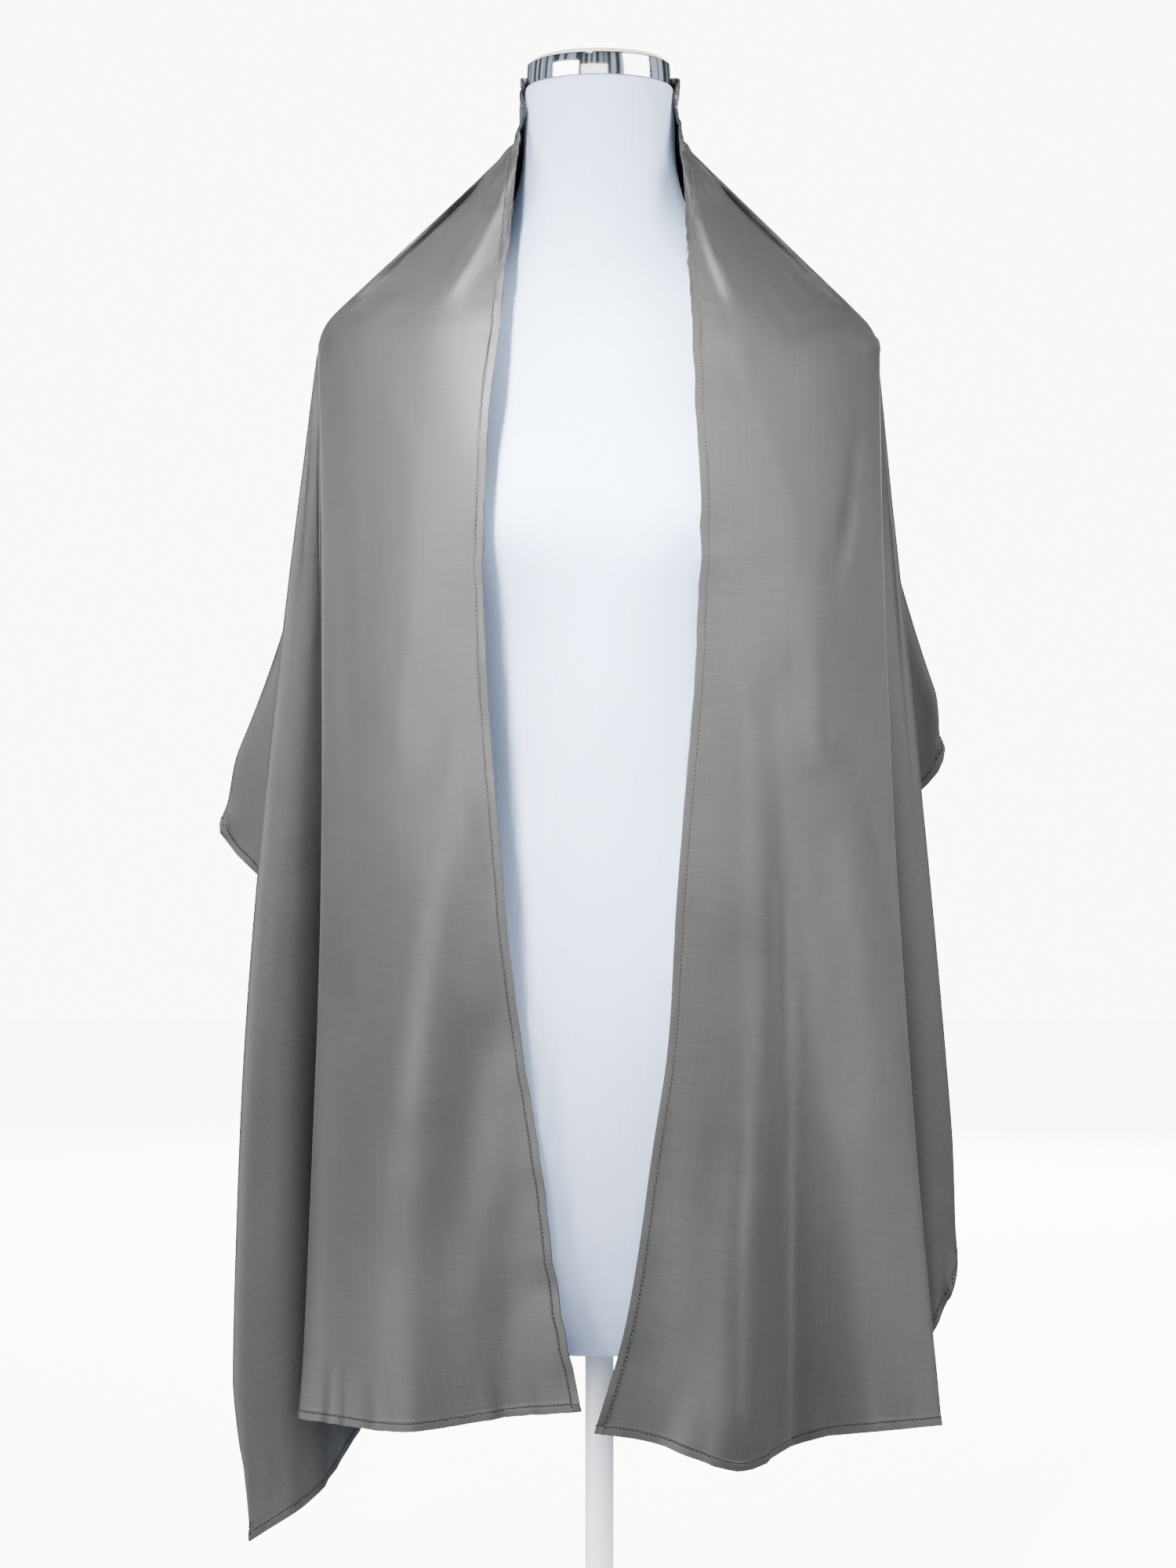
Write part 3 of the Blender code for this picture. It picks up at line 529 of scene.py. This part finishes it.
def cloth_grid():
    rows = [cloth_row("yoke", part) for part in np.linspace(0.0, 1.0 - YOKE_ROUND, YOKE_ROWS)]
    above, turn = rows.pop(), cloth_row("yoke", 1.0)
    below = cloth_row("fall", FALL_ROUND)
    for step in np.linspace(0.0, 1.0, TURN_ROWS):
        rows.append((1 - step) ** 2 * above + 2 * step * (1 - step) * turn + step**2 * below)
    parts = FALL_ROUND + (0.96 - FALL_ROUND) * np.linspace(0.0, 1.0, FALL_ROWS) ** 1.12
    rows += [cloth_row("fall", part) for part in parts[1:]]
    rows.append(cloth_row("fall", 1.0))
    grid = np.array(rows)
    # Behind, the cloth falls from the shoulder blades in one soft curve with no crease across it.
    middle = YOKE_ROWS + TURN_ROWS // 2
    soft = smooth_step((grid[middle, :, 1] - BACK_SOFT_FROM) / BACK_SOFT_OVER)[None, :, None]
    near = slice(middle - BACK_SOFT_ROWS, middle + BACK_SOFT_ROWS)
    for _ in range(BACK_SOFT_TURNS):
        part = grid[near, :, :3]
        grid[near, :, :3] = part + soft * 0.5 * (
            (grid[near.start - 1:near.stop - 1, :, :3] + grid[near.start + 1:near.stop + 1, :, :3]) / 2 - part
        )
    return grid


def with_hem_lines(grid):
    """Put rows and columns close together along the edges, where the hem is."""
    for turned in range(4):
        # The neck row has no corner of the cut beside it, so its own lines are a little wider.
        edge, after = grid[0], grid[1]
        step = after - edge
        reach = np.maximum(np.linalg.norm(step[:, :3], axis=1), HEM_ROOM)[:, None]
        lines = [edge + step * near / reach for near in HEM_STEPS]
        grid = np.concatenate([np.array(lines), grid[1:]])
        grid = np.rot90(grid, axes=(0, 1))
    return grid


def normals_of(grid):
    down = np.gradient(grid[:, :, :3], axis=0)
    along = np.gradient(grid[:, :, :3], axis=1)
    normal = np.cross(down, along)
    return normal / np.maximum(np.linalg.norm(normal, axis=2, keepdims=True), 1e-12)


def hem_places(grid):
    """For each grid point near the cut's edge: run along the edge, and distance from it."""
    points = grid[:, :, :3]
    rows, columns = points.shape[:2]
    border = [(0, c) for c in range(columns)] + [(r, columns - 1) for r in range(1, rows)]
    border += [(rows - 1, c) for c in range(columns - 2, -1, -1)]
    border += [(r, 0) for r in range(rows - 2, 0, -1)]
    line = np.array([points[r, c] for r, c in border + border[:1]])
    steps = np.linalg.norm(np.diff(line, axis=0), axis=1)
    runs = np.concatenate([[0.0], np.cumsum(steps)])
    marks = np.arange(0.0, runs[-1], 0.0006)
    dense = np.stack([np.interp(marks, runs, line[:, k]) for k in range(3)], axis=1)
    tree = KDTree(len(dense))
    for index, point in enumerate(dense):
        tree.insert(point, index)
    tree.balance()
    near = np.full((rows, columns, 2), HEM_ROOM * 4)
    near[:, :, 0] = 0.0
    band = len(HEM_STEPS) + 5
    for r in range(rows):
        for c in range(columns):
            if min(r, rows - 1 - r) > band and min(c, columns - 1 - c) > band:
                continue
            _, index, away = tree.find(points[r, c])
            near[r, c] = (marks[index], away)
    return near, dense, marks


def settle(grid):
    """Push the cloth out and in by its small creases: long soft ones, and puckers at the hems."""
    near, _, _ = hem_places(grid)
    normal = normals_of(grid)
    push = np.zeros(grid.shape[:2])
    points = grid[:, :, :3]
    around = np.cumsum(np.linalg.norm(np.diff(points[-1], axis=0, prepend=points[-1, :1]), axis=1))
    front = 1.0 - smooth_step((points[:, :, 1] - 0.06) / 0.06)
    for r in range(grid.shape[0]):
        for c in range(grid.shape[1]):
            run, away = near[r, c]
            down = NECK_TOP - points[r, c, 2]
            long_one = noise.noise(Vector((around[c] * 16.0, down * 2.2, 3.0)))
            short_one = noise.noise(Vector((around[c] * 34.0, down * 6.0, 9.0)))
            loose = smooth_step((down - 0.12) / 0.35) * (1.0 - 0.85 * front[r, c])
            push[r, c] = (0.0008 + 0.0045 * loose) * long_one + (0.0005 + 0.0010 * loose) * short_one
            if away < PUCKER_REACH * 3:
                wave = noise.noise(Vector((run * 48.0, 1.0, 5.0)))
                wave += 0.6 * noise.noise(Vector((run * 135.0, 4.0, 2.0)))
                push[r, c] += PUCKER_RISE * wave * math.exp(-((away / PUCKER_REACH) ** 2))
    grid = grid.copy()
    grid[:, :, :3] += normal * push[:, :, None]
    for row in grid:
        for index in range(len(row)):
            row[index] = clear_of_form(row[index])
    return grid, near


def hex_colour(code):
    """An sRGB hex value as linear red, green, blue and alpha."""
    parts = [int(code[i:i + 2], 16) / 255 for i in (1, 3, 5)]
    linear = [p / 12.92 if p <= 0.04045 else ((p + 0.055) / 1.055) ** 2.4 for p in parts]
    return (*linear, 1.0)


def new_material(name, sockets):
    made = bpy.data.materials.new(name)
    made.use_nodes = True
    shader = made.node_tree.nodes["Principled BSDF"]
    for socket, value in sockets.items():
        shader.inputs[socket].default_value = value
    return made, made.node_tree, shader


def add_node(tree, kind, settings, links):
    """Add a node: settings are its properties or socket values, links feed its sockets."""
    made = tree.nodes.new(kind)
    for key, value in settings.items():
        if isinstance(key, str) and hasattr(made, key):
            setattr(made, key, value)
        else:
            made.inputs[key].default_value = value
    for key, source in links.items():
        tree.links.new(source, made.inputs[key])
    return made


def satin_material():
    # Polyester satin, woven with long floats: a soft broad gloss over mid grey. Its threads are
    # 0.1 mm apart, too fine for the render, so the streaks across it stand for slubs 1.2 mm apart.
    made, tree, shader = new_material("polyester_satin_woven", {
        "IOR": 1.55,
        "Specular IOR Level": 0.30,
        "Sheen Weight": 0.15,
        "Sheen Roughness": 0.35,
    })
    cut = add_node(tree, "ShaderNodeUVMap", {"uv_map": "cut"}, {})
    slub_place = add_node(tree, "ShaderNodeMapping", {"Scale": (830.0, 22.0, 1.0)}, {"Vector": cut.outputs[0]})
    slubs = add_node(tree, "ShaderNodeTexNoise", {"Scale": 1.0, "Detail": 3.0, "Roughness": 0.6},
                     {"Vector": slub_place.outputs[0]})
    warp_place = add_node(tree, "ShaderNodeMapping", {"Scale": (14.0, 620.0, 1.0)}, {"Vector": cut.outputs[0]})
    warps = add_node(tree, "ShaderNodeTexNoise", {"Scale": 1.0, "Detail": 2.0}, {"Vector": warp_place.outputs[0]})
    cloud = add_node(tree, "ShaderNodeTexNoise", {"Scale": 9.0, "Detail": 4.0}, {"Vector": cut.outputs[0]})
    mixed = add_node(tree, "ShaderNodeMath", {"operation": "MULTIPLY_ADD", 1: 0.5},
                     {0: warps.outputs[0], 2: slubs.outputs[0]})
    tone = add_node(tree, "ShaderNodeMath", {"operation": "MULTIPLY_ADD", 1: 0.6},
                    {0: cloud.outputs[0], 2: mixed.outputs[0]})
    ramp = add_node(tree, "ShaderNodeMapRange", {"From Min": 0.75, "From Max": 1.35}, {"Value": tone.outputs[0]})
    colour = add_node(tree, "ShaderNodeMix", {
        "data_type": "RGBA", 6: hex_colour("#2a2a2a"), 7: hex_colour("#343434"),
    }, {"Factor": ramp.outputs[0]})
    tree.links.new(colour.outputs[2], shader.inputs["Base Color"])
    gloss = add_node(tree, "ShaderNodeMapRange", {"To Min": 0.49, "To Max": 0.59}, {"Value": slubs.outputs[0]})
    tree.links.new(gloss.outputs[0], shader.inputs["Roughness"])
    hem = add_node(tree, "ShaderNodeUVMap", {"uv_map": "hem"}, {})
    apart = add_node(tree, "ShaderNodeSeparateXYZ", {}, {"Vector": hem.outputs[0]})
    turned = add_node(tree, "ShaderNodeMapRange", {
        "interpolation_type": "SMOOTHSTEP", "From Min": HEM_WIDTH - 0.0003, "From Max": HEM_WIDTH + 0.0004,
        "To Min": 1.0, "To Max": 0.0,
    }, {"Value": apart.outputs["Y"]})
    off_line = add_node(tree, "ShaderNodeMath", {"operation": "SUBTRACT", 1: STITCH_IN}, {0: apart.outputs["Y"]})
    off_size = add_node(tree, "ShaderNodeMath", {"operation": "ABSOLUTE"}, {0: off_line.outputs[0]})
    groove = add_node(tree, "ShaderNodeMapRange", {
        "interpolation_type": "SMOOTHSTEP", "From Max": 0.0006, "To Min": -0.8, "To Max": 0.0,
    }, {"Value": off_size.outputs[0]})
    hem_height = add_node(tree, "ShaderNodeMath", {"operation": "ADD"}, {0: turned.outputs[0], 1: groove.outputs[0]})
    weave_bump = add_node(tree, "ShaderNodeBump", {"Strength": 0.35, "Distance": 0.0002}, {"Height": mixed.outputs[0]})
    hem_bump = add_node(tree, "ShaderNodeBump", {"Strength": 0.8, "Distance": 0.0004},
                        {"Height": hem_height.outputs[0], "Normal": weave_bump.outputs[0]})
    tree.links.new(hem_bump.outputs[0], shader.inputs["Normal"])
    return made


def thread_material():
    # Polyester sewing thread, spun and dyed to match the satin, and duller. Its near black, well below the satin, is
    # painted shade for the small dimples where the stitches pull into the hem.
    made, tree, shader = new_material("polyester_thread_spun_painted_shade", {"Roughness": 0.75, "Specular IOR Level": 0.3})
    twist = add_node(tree, "ShaderNodeTexNoise", {"Scale": 2500.0}, {})
    # Near-black mix: the thread's own grey darkened into painted shade of the stitch dimples.
    colour = add_node(tree, "ShaderNodeMix", {
        "data_type": "RGBA", 6: hex_colour("#0d0d0f"), 7: hex_colour("#17171a"),
    }, {"Factor": twist.outputs[0]})
    tree.links.new(colour.outputs[2], shader.inputs["Base Color"])
    place = add_node(tree, "ShaderNodeTexCoord", {}, {})
    tree.links.new(place.outputs["Object"], twist.inputs["Vector"])
    return made


def cover_material():
    # Cotton jersey stretched over the form: matt, nearly white with a cool cast. Its knitted
    # ribs run up and down, 1.3 mm apart here so that they show.
    made, tree, shader = new_material("cotton_jersey_knitted", {
        "Roughness": 0.62,
        "IOR": 1.46,
        "Sheen Weight": 0.12,
    })
    place = add_node(tree, "ShaderNodeTexCoord", {}, {})
    ribs_place = add_node(tree, "ShaderNodeMapping", {"Scale": (760.0, 760.0, 16.0)}, {"Vector": place.outputs["Object"]})
    ribs = add_node(tree, "ShaderNodeTexNoise", {"Scale": 1.0, "Detail": 2.0}, {"Vector": ribs_place.outputs[0]})
    soft = add_node(tree, "ShaderNodeTexNoise", {"Scale": 14.0, "Detail": 3.0}, {"Vector": place.outputs["Object"]})
    tone = add_node(tree, "ShaderNodeMath", {"operation": "MULTIPLY_ADD", 1: 0.5},
                    {0: soft.outputs[0], 2: ribs.outputs[0]})
    ramp = add_node(tree, "ShaderNodeMapRange", {"From Min": 0.45, "From Max": 1.05}, {"Value": tone.outputs[0]})
    colour = add_node(tree, "ShaderNodeMix", {
        "data_type": "RGBA", 6: hex_colour("#bacdf3"), 7: hex_colour("#cadafb"),
    }, {"Factor": ramp.outputs[0]})
    tree.links.new(colour.outputs[2], shader.inputs["Base Color"])
    bump = add_node(tree, "ShaderNodeBump", {"Strength": 0.25, "Distance": 0.0002}, {"Height": ribs.outputs[0]})
    tree.links.new(bump.outputs[0], shader.inputs["Normal"])
    return made


def chrome_material():
    # Chromed steel band, polished: a mirror with faint wipe marks round it.
    made, tree, shader = new_material("chromed_steel_polished", {
        "Base Color": hex_colour("#e3e3e6"),
        "Metallic": 1.0,
    })
    place = add_node(tree, "ShaderNodeTexCoord", {}, {})
    wiped = add_node(tree, "ShaderNodeMapping", {"Scale": (30.0, 30.0, 900.0)}, {"Vector": place.outputs["Object"]})
    marks = add_node(tree, "ShaderNodeTexNoise", {"Scale": 1.0, "Detail": 3.0}, {"Vector": wiped.outputs[0]})
    gloss = add_node(tree, "ShaderNodeMapRange", {"To Min": 0.04, "To Max": 0.13}, {"Value": marks.outputs[0]})
    tree.links.new(gloss.outputs[0], shader.inputs["Roughness"])
    return made


def cap_material():
    # Moulded ABS cap: cream, with the fine grain of its mould.
    made, tree, shader = new_material("abs_moulded_cream", {
        "Base Color": hex_colour("#ece6d8"),
        "Roughness": 0.42,
        "IOR": 1.54,
    })
    place = add_node(tree, "ShaderNodeTexCoord", {}, {})
    grain = add_node(tree, "ShaderNodeTexNoise", {"Scale": 1400.0, "Detail": 2.0}, {"Vector": place.outputs["Object"]})
    bump = add_node(tree, "ShaderNodeBump", {"Strength": 0.2, "Distance": 0.0001}, {"Height": grain.outputs[0]})
    tree.links.new(bump.outputs[0], shader.inputs["Normal"])
    return made


def coat_material():
    # Powder coat on steel: white, half gloss, with the slight orange peel of a baked coat.
    made, tree, shader = new_material("powder_coat_baked", {
        "Base Color": hex_colour("#e9e9ec"),
        "Roughness": 0.38,
        "IOR": 1.5,
    })
    place = add_node(tree, "ShaderNodeTexCoord", {}, {})
    peel = add_node(tree, "ShaderNodeTexNoise", {"Scale": 700.0, "Detail": 1.0}, {"Vector": place.outputs["Object"]})
    bump = add_node(tree, "ShaderNodeBump", {"Strength": 0.25, "Distance": 0.0001}, {"Height": peel.outputs[0]})
    tree.links.new(bump.outputs[0], shader.inputs["Normal"])
    return made


def clear_selection():
    for item in bpy.context.selected_objects:
        item.select_set(False)


def finish_piece(made, material, node, angle=math.radians(38)):
    """Put the piece's place in its mesh, smooth it, dress it and let it ride in the CAD's place."""
    clear_selection()
    made.select_set(True)
    bpy.context.view_layer.objects.active = made
    bpy.ops.object.transform_apply(location=True, rotation=True, scale=True)
    bpy.ops.object.shade_smooth_by_angle(angle=angle)
    made.data.materials.clear()
    made.data.materials.append(material)
    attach(made, "root")
    if node:
        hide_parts(*node)
    return made


def apply_modifiers(made):
    clear_selection()
    made.select_set(True)
    bpy.context.view_layer.objects.active = made
    for modifier in list(made.modifiers):
        bpy.ops.object.modifier_apply(modifier=modifier.name)


def make_stole(material):
    grid, near = settle(with_hem_lines(cloth_grid()))
    rows, columns = grid.shape[:2]
    faces = []
    for r in range(rows - 1):
        for c in range(columns - 1):
            a = r * columns + c
            faces.append((a, a + columns, a + columns + 1, a + 1))
    mesh = bpy.data.meshes.new("stole")
    mesh.from_pydata([tuple(map(float, p)) for p in grid[:, :, :3].reshape(-1, 3)], [], faces)
    mesh.update()
    made = bpy.data.objects.new("stole", mesh)
    bpy.context.scene.collection.objects.link(made)
    corners = np.array([loop.vertex_index for loop in mesh.loops])
    for name, values in (("cut", grid[:, :, 3:5]), ("hem", near)):
        layer = mesh.uv_layers.new(name=name)
        layer.data.foreach_set("uv", values.reshape(-1, 2)[corners].astype(np.float32).ravel())
    thick = made.vertex_groups.new(name="thick")
    away = near[:, :, 1]
    wall = WALL_PLAIN + (WALL_HEM - WALL_PLAIN) * smooth_step((HEM_WIDTH + 0.0004 - away) / 0.0008)
    wall -= 0.0003 * np.exp(-(((away - STITCH_IN) / 0.0004) ** 2))
    for index, value in enumerate((wall / WALL_HEM).ravel()):
        thick.add([index], float(value), "REPLACE")
    solid = made.modifiers.new("wall", "SOLIDIFY")
    solid.thickness = WALL_HEM
    solid.offset = 0.0
    solid.vertex_group = "thick"
    apply_modifiers(made)
    finish_piece(made, material, ("stole_left_fall", "stole_back", "stole_right_fall"), math.radians(50))
    return made, grid


def make_stitches(stole, grid, material):
    """One small stitch, copied all along the hem on both faces of the cloth."""
    clear_selection()
    bpy.ops.mesh.primitive_uv_sphere_add(segments=6, ring_count=4, radius=0.5)
    pattern = bpy.context.active_object
    bpy.ops.object.mode_set(mode="EDIT")
    bpy.ops.transform.resize(value=(STITCH_THICK, STITCH_THICK, STITCH_LENGTH))
    bpy.ops.object.mode_set(mode="OBJECT")
    shape = np.array([v.co[:] for v in pattern.data.vertices])
    shape_faces = [tuple(p.vertices) for p in pattern.data.polygons]
    bpy.data.objects.remove(pattern)
    tree = BVHTree.FromPolygons([v.co for v in stole.data.vertices], [p.vertices for p in stole.data.polygons])
    points = grid[:, :, :3]
    rows, columns = points.shape[:2]
    inner = [((0, c), (8, c)) for c in range(columns)]
    inner += [((r, columns - 1), (r, columns - 9)) for r in range(1, rows)]
    inner += [((rows - 1, c), (rows - 9, c)) for c in range(columns - 2, -1, -1)]
    inner += [((r, 0), (r, 8)) for r in range(rows - 2, 0, -1)]
    edge = np.array([points[a] for a, _ in inner])
    inward = np.array([points[b] for _, b in inner]) - edge
    runs = np.concatenate([[0.0], np.cumsum(np.linalg.norm(np.diff(edge, axis=0), axis=1))])
    found, faces = [], []
    for place in np.arange(0.006, runs[-1] - 0.006, STITCH_PITCH):
        at = np.array([np.interp(place, runs, edge[:, k]) for k in range(3)])
        ahead = np.array([np.interp(place + 0.0012, runs, edge[:, k]) for k in range(3)])
        back = np.array([np.interp(place - 0.0012, runs, edge[:, k]) for k in range(3)])
        lie = np.array([np.interp(place, runs, inward[:, k]) for k in range(3)])
        along = ahead - back
        along /= np.linalg.norm(along)
        lie -= along * (lie @ along)
        lie /= np.linalg.norm(lie)
        face = np.cross(along, lie)
        spot = at + lie * STITCH_IN
        for side in (1.0, -1.0):
            hit, normal, _, away = tree.find_nearest(Vector(spot + face * side * 0.002))
            if hit is None or away > 0.003:
                continue
            up = np.array(normal)
            turn = along - up * (along @ up)
            turn /= np.linalg.norm(turn)
            wide = np.cross(up, turn)
            start = len(found) * len(shape)
            found.append(np.array(hit) + shape @ np.array([wide, up, turn]))
            faces += [tuple(v + start for v in f) for f in shape_faces]
    mesh = bpy.data.meshes.new("hem_stitches")
    mesh.from_pydata(np.concatenate(found).tolist(), [], faces)
    mesh.update()
    made = bpy.data.objects.new("hem_stitches", mesh)
    bpy.context.scene.collection.objects.link(made)
    finish_piece(made, material, None)
    return made


def make_form(material):
    """Rings drawn up from a circle, one per section, then shaped to the form's outline."""
    clear_selection()
    heights = [FORM_BOTTOM]
    for low, high in zip(FORM_SECTIONS, FORM_SECTIONS[1:]):
        steps = max(1, round((high[0] - low[0]) / 0.010))
        heights += [low[0] + (high[0] - low[0]) * step / steps for step in range(1, steps + 1)]
    bpy.ops.mesh.primitive_circle_add(vertices=120, radius=0.1, fill_type="NGON", location=(0, 0, FORM_BOTTOM))
    made = bpy.context.active_object
    made.name = "form"
    bpy.ops.object.mode_set(mode="EDIT")
    bpy.ops.mesh.select_all(action="SELECT")
    for low, high in zip(heights, heights[1:]):
        bpy.ops.mesh.extrude_region_move(TRANSFORM_OT_translate={"value": (0.0, 0.0, high - low)})
    bpy.ops.mesh.select_all(action="SELECT")
    bpy.ops.mesh.normals_make_consistent(inside=False)
    bpy.ops.object.mode_set(mode="OBJECT")
    bpy.ops.object.transform_apply(location=True, rotation=True, scale=True)
    for vertex in made.data.vertices:
        angle = math.atan2(vertex.co.y, vertex.co.x)
        reach = form_reach(angle, vertex.co.z)
        vertex.co.x, vertex.co.y = reach * math.cos(angle), reach * math.sin(angle)
    finish_piece(made, material, ("form_body",))
    return made


def make_turned(name, profile, material, node, hollow=False, bevel=0.0):
    """Draw a circle up, in and out through (radius, height) pairs, as on a lathe."""
    clear_selection()
    radius, height = profile[0]
    fill = "NOTHING" if hollow else "NGON"
    bpy.ops.mesh.primitive_circle_add(vertices=128, radius=radius, fill_type=fill, location=(0, 0, height))
    made = bpy.context.active_object
    made.name = name
    bpy.ops.object.mode_set(mode="EDIT")
    bpy.ops.mesh.select_all(action="SELECT")
    for wide, high in profile[1:]:
        bpy.ops.mesh.extrude_region_move(TRANSFORM_OT_translate={"value": (0.0, 0.0, high - height)})
        bpy.ops.transform.resize(value=(wide / radius, wide / radius, 1.0))
        radius, height = wide, high
    bpy.ops.mesh.select_all(action="SELECT")
    bpy.ops.mesh.remove_doubles(threshold=0.00002)
    bpy.ops.mesh.normals_make_consistent(inside=False)
    bpy.ops.object.mode_set(mode="OBJECT")
    if bevel:
        rounding = made.modifiers.new("edge", "BEVEL")
        rounding.width = bevel
        rounding.segments = 3
        rounding.limit_method = "ANGLE"
        apply_modifiers(made)
    finish_piece(made, material, (node,))
    return made


def make_fittings(chrome, cream, coat):
    low = NECK_TOP + SEAT_GAP
    high = low + RING_HEIGHT
    seat = high + SEAT_GAP
    make_turned("neck_band", (
        (RING_BORE, low),
        (RING_RADIUS, low),
        (RING_RADIUS, high),
        (RING_BORE, high),
        (RING_BORE, low),
    ), chrome, "neck_ring", hollow=True, bevel=0.0009)
    make_turned("neck_lid", (
        (CAP_STEM_RADIUS, low),
        (CAP_STEM_RADIUS, seat),
        (CAP_RADIUS, seat),
        (CAP_RADIUS, seat + CAP_RISE / 2),
        (CAP_RADIUS - 0.0020, seat + CAP_RISE),
        (CAP_RADIUS / 2, seat + CAP_RISE + 0.0006),
    ), cream, "neck_cap", bevel=0.0006)
    make_turned("base_plate", (
        (BASE_RADIUS, 0.0),
        (BASE_RADIUS, BASE_THICK - BASE_EDGE),
        (BASE_RADIUS - BASE_EDGE, BASE_THICK),
    ), coat, "stand_base", bevel=0.0008)
    make_turned("pole", (
        (POLE_RADIUS, BASE_THICK + SEAT_GAP),
        (POLE_RADIUS, FORM_BOTTOM - SEAT_GAP),
    ), coat, "stand_pole", bevel=0.0004)


def make_studio():
    """Pale floor with a pale wall on each side, soft lights and the camera."""
    made, tree, shader = new_material("paper_sweep_matt", {
        "Base Color": hex_colour("#ffffff"),
        "Roughness": 0.9,
        "Emission Color": (1.0, 1.0, 1.0, 1.0),
        "Emission Strength": 9.0,
    })
    clear_selection()
    bpy.ops.mesh.primitive_plane_add(size=12.0, location=(0.0, 0.0, -0.0005))
    floor = bpy.context.active_object
    floor.name = "studio_floor"
    bpy.ops.object.mode_set(mode="EDIT")
    bpy.ops.mesh.select_mode(type="EDGE")
    bpy.ops.mesh.select_all(action="SELECT")
    bpy.ops.mesh.extrude_edges_move(TRANSFORM_OT_translate={"value": (0.0, 0.0, 6.0)})
    bpy.ops.object.mode_set(mode="OBJECT")
    floor.data.materials.append(made)
    floor.visible_diffuse = False
    floor.visible_glossy = False
    floor.visible_shadow = False
    for name, place, aim, size, energy, spread, tint in (
        ("left_light", (-2.7, -1.9, 0.75), (0.0, 0.0, 0.45), 2.6, 318.0, 180.0, (1.0, 0.985, 0.965)),
        ("right_light", (2.75, -1.5, 1.35), (0.0, 0.0, 0.8), 2.6, 228.0, 180.0, (1.0, 0.99, 0.975)),
        ("front_light", (-0.5, -3.5, 0.45), (0.0, 0.0, 0.45), 2.6, 84.0, 180.0, (1.0, 1.0, 1.0)),
        ("chest_light", (-0.5, -1.5, 2.4), (-0.02, -0.12, 0.79), 0.3, 4.0, 12.0, (1.0, 1.0, 1.0)),
        ("back_light", (0.4, 3.0, 1.6), (0.0, 0.0, 0.7), 2.0, 250.0, 180.0, (1.0, 1.0, 1.0)),
    ):
        lamp = bpy.data.lights.new(name, "AREA")
        lamp.energy, lamp.size, lamp.color, lamp.spread = energy, size, tint, math.radians(spread)
        held = bpy.data.objects.new(name, lamp)
        held.location = place
        held.rotation_euler = (Vector(aim) - Vector(place)).to_track_quat("-Z", "Y").to_euler()
        bpy.context.scene.collection.objects.link(held)
    world = bpy.data.worlds.new("studio_air")
    world.use_nodes = True
    air = world.node_tree
    shine = air.nodes["Background"]
    shine.inputs["Color"].default_value = (0.74, 0.85, 1.0, 1.0)
    # Tall bright and dark stretches round the room, which the chromed band shows as upright bars.
    looked = add_node(air, "ShaderNodeTexCoord", {}, {})
    parts = add_node(air, "ShaderNodeSeparateXYZ", {}, {"Vector": looked.outputs["Generated"]})
    turned = add_node(air, "ShaderNodeMath", {"operation": "ARCTAN2"}, {0: parts.outputs["Y"], 1: parts.outputs["X"]})
    walls = add_node(air, "ShaderNodeTexNoise", {"noise_dimensions": "1D", "Scale": 4.0, "Detail": 1.0},
                     {"W": turned.outputs[0]})
    bars = add_node(air, "ShaderNodeMapRange", {
        "interpolation_type": "SMOOTHSTEP", "From Min": 0.44, "From Max": 0.56, "To Min": 0.06, "To Max": 0.95,
    }, {"Value": walls.outputs[0]})
    above = add_node(air, "ShaderNodeMapRange", {
        "interpolation_type": "SMOOTHSTEP", "From Min": 0.25, "From Max": 0.75, "To Min": 1.0, "To Max": 0.12,
    }, {"Value": parts.outputs["Z"]})
    dimmed = add_node(air, "ShaderNodeMath", {"operation": "MULTIPLY"}, {0: bars.outputs[0], 1: above.outputs[0]})
    air.links.new(dimmed.outputs[0], shine.inputs["Strength"])
    bpy.context.scene.world = world
    camera = bpy.data.cameras.new("photo_camera")
    camera.sensor_fit = "VERTICAL"
    camera.sensor_height = 36.0
    camera.lens = 36.0 * 2.3 / 1.1
    stood = bpy.data.objects.new("photo_camera", camera)
    stood.location = (-0.008, -2.3, 0.60)
    stood.rotation_euler = (math.pi / 2, 0.0, 0.0)
    bpy.context.scene.collection.objects.link(stood)
    bpy.context.scene.camera = stood


def main():
    make_studio()
    form = make_form(cover_material())
    make_fittings(chrome_material(), cap_material(), coat_material())
    stole, grid = make_stole(satin_material())
    stitches = make_stitches(stole, grid, thread_material())


main()
